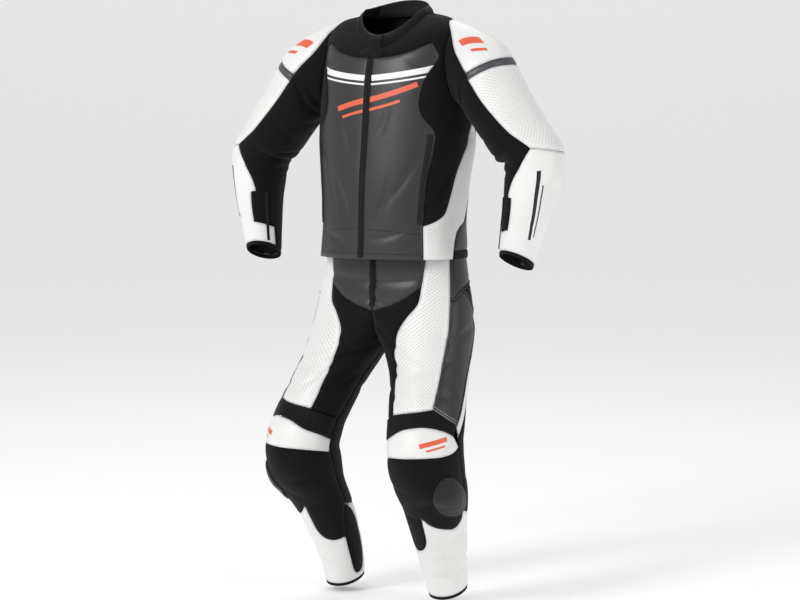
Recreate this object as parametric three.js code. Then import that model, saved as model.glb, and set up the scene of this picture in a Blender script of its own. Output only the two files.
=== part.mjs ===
// Two-piece motorcycle race suit, filled out as it is worn, with no wearer inside.
// Millimetres, +Z up. The front faces -Y and the wearer's left is +X.
// The origin is the middle of the neck, where the wearer's shoulders carry the suit.
import * as THREE from 'three';

// Driving dimensions
const WALL = 2.0;            // leather and its backing
const SEAM_GAP = 0.3;        // between two pieces at a seam
const SEAM_STEP = 38;        // longest straight stretch of a seam
const SNAP = 0.9;            // places closer than this are one corner
const UNEVEN = 0.001;        // keeps every corner of a straight row
const JACKET_LENGTH = 620;   // along the side of the trunk, from hem to neck seam
const COLLAR_HEIGHT = 36;
const SLEEVE_LENGTH = 550;
const TROUSER_TOP = -490;    // inside the jacket's hem
const TROUSER_HEM = -1322;
const SLEEVE_ROOT = 80;      // length over which the sleeve leaves its armhole's shape
const CUFF_SLANT = 15;       // front of the cuff is this much higher than its side
const HEM_SLANT = 17;        // front of the trouser hem is this much lower than its side

// Colours
const WHITE = 0xe9e9e5;
const ANTHRACITE = 0x434346;
const BLACK = 0x1b1b1c;
const REFLECTIVE = 0x5b5d61;
const PUCK_GREY = 0x2b2b2d;

// Sections of the trunk, from hem to neck. q is the angle round it: 0 front, 90 left, 180 back.
// dip lowers the front of a section and lift raises its back.
const TRUNK = {
  columns: ['up', 'z', 'half', 'mid', 'fore', 'aft', 'n', 'dip', 'lift'],
  rows: [
    [0, -528, 187, 0, 141, 128, 2.3, 0, 0],
    [90, -440, 180, 4, 138, 128, 2.3, 0, 0],
    [185, -346, 186, 8, 134, 142, 2.3, 0, 0],
    [285, -250, 198, 14, 124, 152, 2.3, 0, 0],
    [365, -170, 196, 16, 116, 150, 2.35, 4, 0],
    [440, -95, 188, 14, 108, 138, 2.4, 10, 0],
    [500, -35, 180, 12, 98, 118, 2.4, 24, 0],
    [540, 12, 174, 10, 92, 104, 2.3, 58, 8],
    [575, 35, 146, 8, 88, 93, 2.2, 75, 8],
    [620, 46, 96, 6, 84, 86, 2.1, 80, 10],
  ],
};

// Sections of the stand collar, up from the neck seam.
const COLLAR = {
  columns: TRUNK.columns,
  rows: [
    [0, 46.6, 96, 6, 84, 86, 2.1, 80, 10],
    [18, 56, 90, 6, 76, 85, 2.0, 73, 17],
    [36, 63, 84, 6, 66, 80, 2.0, 64, 22],
  ],
};

// Sections of the left sleeve. q: 0 front, 90 outer side, 180 back, 270 towards the body.
// lean is the sleeve's angle from straight down, outwards; pitch is forwards.
const SLEEVE = {
  columns: ['at', 'x', 'y', 'z', 'lean', 'pitch', 'out', 'inn', 'fore', 'aft'],
  rows: [
    [0, 188, 12, -68, 76, 0, 100, 96, 78, 84],
    [65, 234, 8, -100, 54, 0, 97, 82, 80, 82],
    [150, 288, 0, -164, 38, 0, 82, 74, 78, 80],
    [240, 346, -4, -240, 36, 2, 78, 70, 74, 76],
    [315, 389, -5, -298, 12, 5, 78, 68, 70, 74],
    [400, 386, -18, -384, -7, 7, 62, 57, 59, 60],
    [480, 374, -27, -462, -9, 7, 50, 48, 50, 50],
    [550, 363, -34, -528, -9, 7, 43, 42, 43, 43],
    [575, 359, -37, -552, -9, 7, 42, 41, 42, 42],
  ],
};

// The armhole is an oval on the trunk, in degrees round it and millimetres up it.
const ARMHOLE = { q: 98, up: 459, halfQ: 32, halfUp: 113 };

// Sections of the left trouser leg by height. Above the crotch they run past the middle
// of the body, where the centre seam cuts them.
const LEG = {
  columns: ['z', 'x', 'y', 'out', 'inn', 'fore', 'aft', 'n'],
  rows: [
    [-490, 0, 8, 179, 179, 98, 97, 2.3],
    [-545, 0, 8, 185.5, 185.5, 98, 104, 2.3],
    [-590, 10, 5, 184, 178, 97, 108, 2.3],
    [-634, 35, 0, 168, 150, 95, 112, 2.3],
    [-690, 75, -8, 136, 106, 96, 112, 2.25],
    [-742, 106, -24, 110, 104, 98, 106, 2.2],
    [-790, 132, -46, 92, 92, 96, 98, 2.15],
    [-874, 157, -92, 88, 88, 92, 92, 2.1],
    [-970, 175, -128, 88, 86, 92, 88, 2.1],
    [-1018, 177, -122, 87, 87, 94, 88, 2.1],
    [-1066, 176, -104, 84, 82, 88, 84, 2.1],
    [-1114, 168, -74, 74, 74, 76, 76, 2.1],
    [-1162, 159, -50, 66, 66, 68, 68, 2.1],
    [-1210, 154, -29, 61, 60, 62, 62, 2.1],
    [-1258, 150, -11, 53, 53, 55, 56, 2.1],
    [-1306, 150, 4, 48, 48, 50, 51, 2.1],
    [-1345, 151, 13, 47, 47, 49, 50, 2.1],
  ],
};

// Largest folds. Each is a soft trough or ridge at (q, v) on its form, lying at an angle to
// the sections: reach along it, width across it, and depth, with troughs below zero.
const FOLDS = {
  columns: ['q', 'v', 'turn', 'reach', 'width', 'depth'],
  sleeve: [
    [285, 300, 8, 60, 13, -7],
    [300, 272, -12, 52, 12, 4],
    [262, 326, 14, 50, 12, -5],
    [330, 318, 24, 40, 11, -4],
    [250, 40, 20, 46, 16, -6],
    [318, 70, -30, 50, 15, -5],
    [60, 262, -18, 34, 10, -4],
    [120, 335, 10, 36, 11, -4],
  ],
  leg: [
    [300, -745, -32, 62, 14, -6],
    [318, -700, -38, 55, 13, 4],
    [250, -760, 20, 58, 15, -6],
    [180, -935, 4, 62, 14, -8],
    [195, -975, -8, 56, 13, -7],
    [165, -1015, 8, 50, 13, -5],
    [20, -1205, 10, 34, 9, -4],
    [50, -1228, -8, 40, 9, -4],
    [15, -1250, 6, 36, 9, 3],
    [200, -1190, -10, 44, 12, -4],
  ],
  trunk: [
    [112, 318, 26, 60, 16, -6],
    [248, 318, -26, 60, 16, -6],
    [150, 150, -14, 70, 18, -5],
    [214, 118, 12, 70, 18, -5],
    [180, 88, 0, 74, 17, -5],
  ],
};

const rad = (degrees) => (degrees * Math.PI) / 180;
const power = (v, e) => Math.sign(v) * Math.abs(v) ** e;
const smooth = (t) => {
  const s = Math.min(1, Math.max(0, t));
  return s * s * (3 - 2 * s);
};

// The sections' values at one place, on a curve through the table's rows.
function section(form, value) {
  const { columns, rows } = form;
  const sign = rows.at(-1)[0] > rows[0][0] ? 1 : -1;
  const last = rows.length - 2;
  let i = 0;
  while (i < last && (value - rows[i + 1][0]) * sign > 0) i += 1;
  const [a, b] = [rows[i], rows[i + 1]];
  const h = b[0] - a[0];
  const t = Math.min(1, Math.max(0, (value - a[0]) / h));
  const slope = (k, c) => {
    const before = rows[Math.max(0, k - 1)];
    const here = rows[k];
    const after = rows[Math.min(rows.length - 1, k + 1)];
    const left = k > 0 ? (here[c] - before[c]) / (here[0] - before[0]) : null;
    const right = k < rows.length - 1 ? (after[c] - here[c]) / (after[0] - here[0]) : null;
    if (left === null) return right;
    return right === null ? left : (left + right) / 2;
  };
  const found = {};
  columns.forEach((name, c) => {
    found[name] = (2 * t ** 3 - 3 * t ** 2 + 1) * a[c] + (t ** 3 - 2 * t ** 2 + t) * h * slope(i, c)
      + (3 * t ** 2 - 2 * t ** 3) * b[c] + (t ** 3 - t ** 2) * h * slope(i + 1, c);
  });
  return found;
}

// Forms: each gives the outside of the cloth at an angle q and a place v along it.
function trunkPoint(table, q, up) {
  const r = section(table, up);
  const [c, s] = [Math.cos(rad(q)), Math.sin(rad(q))];
  const depth = c > 0 ? r.fore + r.mid : r.aft - r.mid;
  return new THREE.Vector3(
    r.half * power(s, 2 / r.n),
    r.mid - depth * power(c, 2 / r.n),
    r.z - r.dip * Math.max(c, 0) ** 1.5 + r.lift * Math.max(-c, 0) ** 1.5,
  );
}

const bareTrunk = (q, up) => trunkPoint(TRUNK, q, up);
const bareCollar = (q, up) => trunkPoint(COLLAR, q, up);

function bareLeg(q, z) {
  const [c, s] = [Math.cos(rad(q)), Math.sin(rad(q))];
  const slant = HEM_SLANT * c * smooth((-1100 - z) / 200);
  const r = section(LEG, z - slant);
  return new THREE.Vector3(
    r.x + (s > 0 ? r.out : r.inn) * power(s, 2 / r.n),
    r.y - (c > 0 ? r.fore : r.aft) * power(c, 2 / r.n),
    r.z,
  );
}

// The sleeve starts just inside the armhole's edge.
function armhole(q) {
  const a = rad(q);
  const scale = 1 - SEAM_GAP / 90;
  return bareTrunk(
    ARMHOLE.q - ARMHOLE.halfQ * scale * Math.cos(a),
    ARMHOLE.up + ARMHOLE.halfUp * scale * Math.sin(a),
  );
}

function bareSleeve(q, at) {
  const [c, s] = [Math.cos(rad(q)), Math.sin(rad(q))];
  const r = section(SLEEVE, at - CUFF_SLANT * c * smooth((at - 380) / 150));
  const [lean, pitch] = [rad(r.lean), rad(r.pitch)];
  const outward = new THREE.Vector3(Math.cos(lean), 0, Math.sin(lean));
  const down = new THREE.Vector3(Math.sin(lean), 0, -Math.cos(lean));
  const forward = new THREE.Vector3(0, -Math.cos(pitch), 0).addScaledVector(down, -Math.sin(pitch));
  const point = new THREE.Vector3(r.x, r.y, r.z)
    .addScaledVector(outward, (s > 0 ? r.out : r.inn) * s)
    .addScaledVector(forward, (c > 0 ? r.fore : r.aft) * c);
  return armhole(q).lerp(point, smooth(at / SLEEVE_ROOT));
}

// A form gives the outside of the cloth and its outward direction, folds included. sense is
// -1 where v runs down the form, so that the direction still points out.
function makeForm(bare, sense, folds, girth) {
  const direction = (from, q, v) => {
    const [dq, dv] = [0.6, 0.8];
    const round = from(q + dq, v).sub(from(q - dq, v));
    const along = from(q, v + dv).sub(from(q, v - dv));
    return round.cross(along).multiplyScalar(sense).normalize();
  };
  const point = (q, v) => {
    const rise = folds.reduce((sum, [fq, fv, turn, reach, width, depth]) => {
      const across = ((((((q - fq + 180) % 360) + 360) % 360) - 180) / 360) * girth;
      const along = v - fv;
      const [c, s] = [Math.cos(rad(turn)), Math.sin(rad(turn))];
      const a = (across * c + along * s) / reach;
      const b = (-across * s + along * c) / width;
      return sum + depth * Math.exp(-a * a - b * b);
    }, 0);
    return bare(q, v).addScaledVector(direction(bare, q, v), rise);
  };
  return { point, out: (q, v) => direction(point, q, v), sense, girth, folds };
}

const trunk = makeForm(bareTrunk, 1, FOLDS.trunk, 1040);
const collar = makeForm(bareCollar, 1, [], 540);
const sleeve = makeForm(bareSleeve, -1, FOLDS.sleeve, 440);
const leg = makeForm(bareLeg, 1, FOLDS.leg, 520);

// Seams, as places [q, v] on a form. Those of the trunk that are on both sides are given for the
// left one.
const CHEST_EDGE = [[0, 512], [10, 509], [30, 523], [50, 532], [57, 512], [60, 484], [48, 450], [40, 402],
  [39, 360], [46, 330], [54, 306], [54, 250], [52, 189], [51, 81], [50, 0]];
const TRUNK_SEAMS = [
  { at: CHEST_EDGE, both: true },
  { at: [[99, 350], [93, 290], [84, 213], [80, 162], [76, 123], [72, 105], [62, 90], [51, 81]], both: true },
  { at: [[114, 366], [118, 250], [114, 150], [104, 93], [92, 75], [86, 45], [82, 0]], both: true },
  { at: [[90, 566], [90, JACKET_LENGTH]], both: true },
  { at: [[127, 453], [150, 436], [180, 428], [210, 436], [233, 453]] },
  { at: [[82, 20], [130, 22], [180, 24], [230, 22], [278, 20]] },
];
const ARMHOLE_SEAM = Array.from({ length: 25 }, (_, i) => {
  const a = rad(i * 15);
  return [ARMHOLE.q - ARMHOLE.halfQ * Math.cos(a), ARMHOLE.up + ARMHOLE.halfUp * Math.sin(a)];
});

const SLEEVE_FRONT = [[60, 0], [50, 12], [36, 26], [20, 46], [7, 75], [5, 105], [5, 138], [8, 183], [16, 243],
  [24, 275], [31, 295]];
const SLEEVE_BACK = [[120, 0], [130, 12], [144, 26], [160, 46], [173, 75], [175, 105], [175, 138], [172, 183],
  [164, 243], [156, 275], [149, 295]];
const SLEEVE_SEAMS = [
  { at: SLEEVE_FRONT },
  { at: SLEEVE_BACK },
  { at: [[31, 295], [15, 313], [-3, 342], [-18, 370], [-27, 402]] },
  { at: [[-27, 402], [-15, 405]], straight: true },
  { at: [[-15, 405], [-13, 450], [-14, 490]] },
  { at: [[-14, 490], [-45, 494], [-78, 496]] },
  { at: [[-78, 496], [-80, 520], [-82, SLEEVE_LENGTH - 9]] },
  { at: [[149, 295], [166, 318], [182, 350], [193, 400], [195, 470], [195, SLEEVE_LENGTH - 9]] },
  { at: [[31, 295], [60, 304], [90, 307], [120, 304], [149, 295]] },
  { at: [[7, 72], [42, 88], [84, 97], [130, 90], [173, 72]] },
  { at: [[5, 88], [42, 102], [84, 112], [130, 105], [175, 88]] },
  { at: [[-90, SLEEVE_LENGTH - 9], [90, SLEEVE_LENGTH - 9], [270, SLEEVE_LENGTH - 9]], straight: true },
];

const LEG_SEAMS = [
  { at: [[45, TROUSER_TOP], [44, -530], [37, -590], [29, -632], [16, -660], [3, -690], [-6, -722],
    [-16, -760], [-24, -800], [-28, -850], [-28, -886]] },
  { at: [[74, TROUSER_TOP], [73, -530], [68, -601], [63, -655], [58, -720], [50, -800], [42, -868]] },
  { at: [[37, -590], [24, -612], [8, -633], [-8, -648], [-24, -657]] },
  { at: [[42, -868], [20, -873], [-6, -879], [-28, -886], [-55, -899], [-82, -911]] },
  { at: [[42, -868], [64, -889], [87, -907]] },
  { at: [[87, -907], [92, -930], [94, -955]] },
  { at: [[94, -955], [80, -928], [54, -912], [27, -906], [-2, -913], [-30, -932], [-58, -946], [-84, -961]] },
  { at: [[94, -955], [84, -966], [62, -973], [40, -975], [14, -977], [-8, -979], [-30, -981], [-64, -987],
    [-84, -992]] },
  { at: [[-90, -728], [-90, -800], [-88, -880], [-82, -911], [-84, -961], [-84, -992], [-90, -1060],
    [-88, -1125]] },
  { at: [[66, -622], [74, -620], [88, -601], [110, -585], [150, -576], [200, -574]] },
  { at: [[88, -601], [112, -650], [117, -700], [114, -740], [105, -799], [98, -862], [87, -907]] },
  { at: [[114, -740], [126, -790], [125, -840], [112, -890], [92, -935]] },
  { at: [[94, -955], [99, -1020], [98, -1080], [95, -1112]] },
  { at: [[95, -1112], [89, -1138], [70, -1155], [42, -1153], [20, -1145], [2, -1130]] },
  { at: [[2, -1130], [4, -1158], [2, -1187], [-10, -1204], [-34, -1209], [-62, -1204]] },
  { at: [[95, -1112], [130, -1125], [180, -1138], [230, -1130], [272, -1125]] },
  { at: [[-88, -1125], [-72, -1162], [-62, -1204]] },
  { at: [[-62, -1204], [-62, -1243], [-66, -1280], [-73, -1298], [-88, -1303], [-104, -1297],
    [-115, -1278], [-119, -1238], [-116, -1185], [-106, -1148], [-88, -1125]] },
  { at: [[-130, TROUSER_HEM + 7], [50, TROUSER_HEM + 7], [230, TROUSER_HEM + 7]], straight: true },
];

// Points along a seam: a smooth curve through its places, or straight from one to the next.
function seamPoints(form, { at, straight = false }) {
  const lift = ([q, v]) => form.point(q, v);
  const points = [];
  const last = at.length - 1;
  for (let i = 0; i < last; i += 1) {
    const [a, b] = [at[i], at[i + 1]];
    const turn = Math.abs(b[0] - a[0]) / 15;
    const stretches = Math.ceil(lift(a).distanceTo(lift(b)) / SEAM_STEP - 0.2);
    const steps = Math.max(1, stretches, Math.ceil(turn / 1.6));
    const before = at[i - 1] ?? [2 * a[0] - b[0], 2 * a[1] - b[1]];
    const after = at[i + 2] ?? [2 * b[0] - a[0], 2 * b[1] - a[1]];
    for (let k = 0; k < steps; k += 1) {
      const t = k / steps;
      const smoothed = [0, 1].map((c) => 0.5 * (2 * a[c] + (b[c] - before[c]) * t
        + (2 * before[c] - 5 * a[c] + 4 * b[c] - after[c]) * t ** 2
        + (3 * a[c] - before[c] - 3 * b[c] + after[c]) * t ** 3));
      points.push(straight ? [0, 1].map((c) => a[c] + (b[c] - a[c]) * t) : smoothed);
    }
  }
  return [...points, at[last]];
}

const levels = (from, to, step) => {
  const count = Math.max(1, Math.round(Math.abs(to - from) / step));
  return Array.from({ length: count + 1 }, (_, i) => from + ((to - from) * i) / count);
};

// Where the seams cross and end, as corners on the plane of q and v, with the links between
// them. The plane runs round the form from a cut line at q = from.
function drawPattern(form, { from, low, high, seams }) {
  const across = form.girth / 360;
  const corners = [];
  const far = (a, b) => Math.hypot((a[0] - b[0]) * across, a[1] - b[1]);
  const corner = (place) => {
    const found = corners.findIndex((c) => far(c, place) < SNAP);
    return found >= 0 ? found : corners.push(place) - 1;
  };
  const to = from + 360;
  const round = levels(from, to, 15);
  const edges = [
    round.map((q) => [q, low]), round.map((q) => [q, high]),
    levels(low, high, SEAM_STEP).map((v) => [from, v]), levels(low, high, SEAM_STEP).map((v) => [to, v]),
  ];
  const copies = seams.map((seam) => seamPoints(form, seam))
    .flatMap((points) => [0, -360, 360].map((shift) => points.map(([q, v]) => [q + shift, v])));
  const segments = [...edges, ...copies].flatMap((points) => points.slice(1).map((b, i) => [points[i], b]))
    .filter(([a, b]) => Math.max(a[0], b[0]) > from - 1e-6 && Math.min(a[0], b[0]) < to + 1e-6);
  const within = ([q]) => q > from - 1e-6 && q < to + 1e-6;
  segments.forEach((ends) => ends.filter(within).forEach(corner));
  segments.forEach(([a, b], i) => segments.slice(i + 1).forEach(([c, d]) => {
    const [u, w] = [[b[0] - a[0], b[1] - a[1]], [d[0] - c[0], d[1] - c[1]]];
    const det = u[0] * w[1] - u[1] * w[0];
    if (Math.abs(det) < 1e-9) return;
    const [s, t] = [w, u].map((k) => ((c[0] - a[0]) * k[1] - (c[1] - a[1]) * k[0]) / det);
    if (s > 0 && s < 1 && t > 0 && t < 1) {
      const place = [a[0] + u[0] * s, a[1] + u[1] * s];
      if (within(place)) corner(place);
    }
  }));
  const links = corners.map(() => new Set());
  segments.forEach(([a, b]) => {
    const length = far(a, b);
    const along = corners.map((c, id) => {
      const t = ((c[0] - a[0]) * (b[0] - a[0]) * across ** 2 + (c[1] - a[1]) * (b[1] - a[1])) / length ** 2;
      const foot = [a[0] + (b[0] - a[0]) * t, a[1] + (b[1] - a[1]) * t];
      return { id, t, off: far(c, foot) };
    }).filter(({ t, off }) => off < SNAP && t * length > -SNAP && (1 - t) * length > -SNAP)
      .sort((m, n) => m.t - n.t);
    along.slice(1).forEach(({ id }, i) => {
      links[along[i].id].add(id);
      links[id].add(along[i].id);
    });
  });
  let loose = links.findIndex((set) => set.size === 1);
  while (loose >= 0) {
    links[[...links[loose]][0]].delete(loose);
    links[loose].clear();
    loose = links.findIndex((set) => set.size === 1);
  }
  return { corners, links, across };
}

// The faces between the seams, each as its corners in order, anticlockwise.
function traceFaces({ corners, links, across }) {
  const angle = (a, b) => Math.atan2(corners[b][1] - corners[a][1], (corners[b][0] - corners[a][0]) * across);
  const around = links.map((set, a) => [...set].sort((m, n) => angle(a, m) - angle(a, n)));
  const used = new Set();
  const faces = [];
  around.forEach((others, start) => others.forEach((second) => {
    if (used.has(`${start},${second}`)) return;
    const face = [];
    let [a, b] = [start, second];
    while (!used.has(`${a},${b}`)) {
      used.add(`${a},${b}`);
      face.push(a);
      const turn = around[b];
      [a, b] = [b, turn[(turn.indexOf(a) - 1 + turn.length) % turn.length]];
    }
    faces.push(face.map((id) => corners[id]));
  }));
  const area = (face) => THREE.ShapeUtils.area(face.map(([q, v]) => new THREE.Vector2(q, v)));
  return faces.filter((face) => area(face) > 1);
}

const inside = (face, [q, v]) => face.reduce((odd, a, i) => {
  const b = face[(i + 1) % face.length];
  const crosses = (a[1] > v) !== (b[1] > v) && q < a[0] + ((b[0] - a[0]) * (v - a[1])) / (b[1] - a[1]);
  return crosses ? !odd : odd;
}, false);

// Places inside a face: three rows along each fold, and an even grid elsewhere.
function innerPlaces(form, face, from, step) {
  const across = form.girth / 360;
  const far = (a, b) => Math.hypot((a[0] - b[0]) * across, a[1] - b[1]);
  const edgeGap = (place) => Math.min(...face.map((a, i) => {
    const b = face[(i + 1) % face.length];
    const [dq, dv] = [(b[0] - a[0]) * across, b[1] - a[1]];
    const t = ((place[0] - a[0]) * across * dq + (place[1] - a[1]) * dv) / (dq * dq + dv * dv);
    const held = Math.min(1, Math.max(0, t));
    return far(place, [a[0] + (b[0] - a[0]) * held, a[1] + (b[1] - a[1]) * held]);
  }));
  const onFolds = form.folds.flatMap(([fq, fv, turn, reach, width]) => {
    const [c, s] = [Math.cos(rad(turn)), Math.sin(rad(turn))];
    return [-1.25, 0, 1.25].flatMap((b) => [-0.9, -0.3, 0.3, 0.9].map((a) => {
      const q = fq + ((a * reach * c - b * width * s) / across);
      return [((((q - from) % 360) + 360) % 360) + from, fv + a * reach * s + b * width * c];
    }));
  });
  const lows = Math.min(...face.map(([, v]) => v));
  const highs = Math.max(...face.map(([, v]) => v));
  const grid = levels(lows, highs, step).flatMap((v, row) => (
    levels(from, from + 360, step / across).map((q) => [q + (row % 2) * (step / across / 2), v])
  ));
  const kept = [];
  [[onFolds, 7, 8], [grid, step * 0.5, step * 0.55]].forEach(([places, fromEdge, apart]) => (
    places.filter((place) => inside(face, place) && edgeGap(place) > fromEdge
      && kept.every((other) => far(other, place) > apart)).forEach((place) => (
      kept.every((other) => far(other, place) > apart) && kept.push(place)
    ))
  ));
  return kept;
}

// Turns the diagonals of neighbouring triangles until each is the better of its two.
function relax(points, triangles) {
  const cross = (a, b, c) => (points[b].x - points[a].x) * (points[c].y - points[a].y)
    - (points[b].y - points[a].y) * (points[c].x - points[a].x);
  const cosine = (a, b, c) => {
    const [u, w] = [points[a].clone().sub(points[c]), points[b].clone().sub(points[c])];
    return u.dot(w) / (u.length() * w.length());
  };
  const faces = triangles.map(([a, b, c]) => (cross(a, b, c) > 0 ? [a, b, c] : [a, c, b]));
  for (let pass = 0, turned = 1; pass < 30 && turned > 0; pass += 1) {
    turned = 0;
    const sides = new Map();
    faces.forEach((face, f) => face.forEach((a, i) => {
      sides.set(`${a},${face[(i + 1) % 3]}`, [f, face[(i + 2) % 3]]);
    }));
    const touched = new Set();
    sides.forEach(([f, c], key) => {
      const [a, b] = key.split(',').map(Number);
      const other = sides.get(`${b},${a}`);
      if (!other || touched.has(f) || touched.has(other[0])) return;
      const [g, d] = other;
      const angles = Math.acos(cosine(a, b, c)) + Math.acos(cosine(a, b, d));
      if (angles > Math.PI + 1e-6 && cross(c, d, b) > 0 && cross(d, c, a) > 0) {
        faces[f] = [c, d, b];
        faces[g] = [d, c, a];
        touched.add(f).add(g);
        turned += 1;
      }
    });
  }
  return faces;
}

// A closed mesh from rings of points: each ring joins the next, and the ends are closed.
function solidFromRings(rings) {
  const size = rings[0].length;
  const vertices = rings.flat().flatMap((p) => [p.x, p.y, p.z]);
  const faces = [];
  const end = (rings.length - 1) * size;
  for (let a = 0; a < end; a += size) {
    const b = a + size;
    for (let k = 0; k < size; k += 1) {
      const m = (k + 1) % size;
      faces.push([a + k, a + m, b + m], [a + k, b + m, b + k]);
    }
  }
  for (let k = 1; k < size - 1; k += 1) {
    faces.push([0, k + 1, k], [end, end + k, end + k + 1]);
  }
  return outward(vertices, faces);
}

// Turns the faces round where they point in.
function outward(vertices, faces) {
  const at = (i) => new THREE.Vector3().fromArray(vertices, i * 3);
  const volume = faces.reduce((sum, [a, b, c]) => sum + at(a).dot(at(b).cross(at(c))), 0);
  const turned = volume < 0 ? faces.map(([a, b, c]) => [a, c, b]) : faces;
  return { vertices, faces: turned };
}

// One piece of cloth from the faces that it covers: an outer surface on the form, an inner one
// a wall's thickness inside, and a rim, with half a seam's gap left along its edges.
function clothPiece(form, faces, from, step, startInside) {
  const across = form.girth / 360;
  const places = [];
  const known = new Map();
  const index = ([q, v]) => {
    const key = `${Math.round(((((q - from) % 360) + 360) % 360) * 50) % 18000},${Math.round(v * 50)}`;
    if (!known.has(key)) known.set(key, places.push([q, v]) - 1);
    return known.get(key);
  };
  const triangles = faces.flatMap((face) => {
    const inner = innerPlaces(form, face, from, step);
    const all = [...face, ...inner];
    const flat = all.map(([q, v], i) => (
      new THREE.Vector2(q * across + UNEVEN * Math.sin(5 * i), v + UNEVEN * Math.cos(7 * i))
    ));
    const holes = flat.slice(face.length).map((p) => [p]);
    const found = THREE.ShapeUtils.triangulateShape(flat.slice(0, face.length), holes);
    return relax(flat, found).map((corners) => corners.map((c) => index(all[c])));
  });
  const sides = new Set(triangles.flatMap((t) => t.map((a, i) => `${a},${t[(i + 1) % 3]}`)));
  const rim = [...sides].map((side) => side.split(',').map(Number))
    .filter(([a, b]) => !sides.has(`${b},${a}`));
  const next = new Map(rim);
  const last = new Map(rim.map(([a, b]) => [b, a]));
  const points = places.map(([q, v]) => form.point(q, v));
  const outs = places.map(([q, v]) => form.out(q, v));
  const outer = points.map((point, id) => {
    if (!next.has(id)) return point;
    const inwards = [[last.get(id), id], [id, next.get(id)]].map(([a, b]) => (
      outs[id].clone().cross(points[b].clone().sub(points[a])).multiplyScalar(form.sense).normalize()
    ));
    const spread = Math.max(0.3, 1 + inwards[0].dot(inwards[1]));
    return point.clone().addScaledVector(inwards[0].add(inwards[1]), SEAM_GAP / 2 / spread);
  });
  const inner = outer.map((point, id) => {
    const below = point.clone().addScaledVector(outs[id], -WALL);
    return startInside && places[id][1] === 0 ? startInside(places[id][0], point, below) : below;
  });
  const shift = outer.length;
  const faces3 = [
    ...triangles,
    ...triangles.map(([a, b, c]) => [a + shift, c + shift, b + shift]),
    ...rim.flatMap(([a, b]) => [[a, a + shift, b + shift], [a, b + shift, b]]),
  ];
  return toGeometry(outward([...outer, ...inner].flatMap((p) => [p.x, p.y, p.z]), faces3));
}

// Pieces of a form, named by a place on each face that a piece covers. What holds no such place
// isn't cloth.
function cutCloth(form, pattern, named, startInside) {
  const faces = traceFaces(drawPattern(form, pattern));
  return named.map(([name, places, color, roughness]) => {
    const covered = places.map((place) => faces.find((face) => inside(face, place)));
    const geometry = clothPiece(form, covered, pattern.from, pattern.step, startInside);
    return { name, geometry, color, roughness };
  });
}

// A plate lying on the cloth: rows of places on it, moved out by a lift and given a thickness.
function plate(rows, lift, thickness) {
  const at = (i, k) => rows[Math.min(rows.length - 1, Math.max(0, i))][k];
  const out = rows.map((row, i) => row.map((_, k) => {
    const across = row[Math.min(row.length - 1, k + 1)].clone().sub(row[Math.max(0, k - 1)]);
    const along = at(i + 1, k).clone().sub(at(i - 1, k));
    return across.cross(along).normalize();
  }));
  const thick = (i, k) => (typeof thickness === 'function' ? thickness(i, k) : thickness);
  const raised = (rise) => rows.map((row, i) => (
    row.map((p, k) => p.clone().addScaledVector(out[i][k], lift + rise(i, k)))
  ));
  const [under, over] = [raised(() => 0), raised(thick)];
  const [m, n] = [rows.length, rows[0].length];
  const vertices = [...over.flat(), ...under.flat()].flatMap((p) => [p.x, p.y, p.z]);
  const shift = m * n;
  const faces = [];
  for (let i = 0; i < m - 1; i += 1) {
    for (let k = 0; k < n - 1; k += 1) {
      const [a, b, c, d] = [i * n + k, i * n + k + 1, (i + 1) * n + k + 1, (i + 1) * n + k];
      faces.push([a, b, c], [a, c, d], [a + shift, c + shift, b + shift], [a + shift, d + shift, c + shift]);
    }
  }
  const rim = [
    ...levels(0, n - 1, 1), ...levels(1, m - 1, 1).map((i) => i * n + n - 1),
    ...levels(n - 2, 0, 1).map((k) => (m - 1) * n + k), ...levels(m - 2, 1, 1).map((i) => i * n),
  ];
  rim.forEach((a, i) => {
    const b = rim[(i + 1) % rim.length];
    faces.push([a, a + shift, b + shift], [a, b + shift, b]);
  });
  return outward(vertices, faces);
}

function toGeometry({ vertices, faces }) {
  const geometry = new THREE.BufferGeometry();
  geometry.setAttribute('position', new THREE.BufferAttribute(Float32Array.from(vertices), 3));
  geometry.setIndex(faces.flat());
  return geometry;
}

// Cloth of each form
const mirrored = ({ at, ...rest }) => ({ at: at.map(([q, v]) => [-q, v]), ...rest });
const turned = (geometry) => {
  const { array } = geometry.attributes.position;
  const flipped = geometry.clone();
  flipped.setAttribute('position', new THREE.BufferAttribute(array.map((v, i) => (i % 3 === 0 ? -v : v)), 3));
  const corners = Array.from(geometry.index.array);
  for (let i = 0; i < corners.length; i += 3) {
    [corners[i + 1], corners[i + 2]] = [corners[i + 2], corners[i + 1]];
  }
  flipped.setIndex(corners);
  return flipped;
};
// Left pieces and their mirror images for the right.
const bothSides = (pieces) => pieces.flatMap((piece) => [
  { ...piece, name: `${piece.name}_left` },
  { ...piece, name: `${piece.name}_right`, geometry: turned(piece.geometry) },
]);

function jacketBody() {
  const seams = [
    ...TRUNK_SEAMS,
    ...TRUNK_SEAMS.filter((seam) => seam.both).map(mirrored),
    { at: ARMHOLE_SEAM, straight: true },
    mirrored({ at: ARMHOLE_SEAM, straight: true }),
  ];
  const pattern = { from: 0, low: 0, high: JACKET_LENGTH, seams, step: 46 };
  const halves = [['left', (q) => q], ['right', (q) => 360 - q]].flatMap(([side, at]) => [
    [`front_${side}`, [[at(25), 250]], ANTHRACITE, 0.5],
    [`yoke_${side}`, [[at(66), 590]], BLACK, 0.85],
    [`side_${side}`, [[at(100), 200]], WHITE, 0.5],
  ]);
  return cutCloth(trunk, pattern, [
    ...halves,
    ['back_yoke', [[180, 560]], BLACK, 0.85],
    ['back', [[180, 260]], ANTHRACITE, 0.5],
    ['back_hem', [[180, 10]], BLACK, 0.6],
  ]);
}

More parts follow.
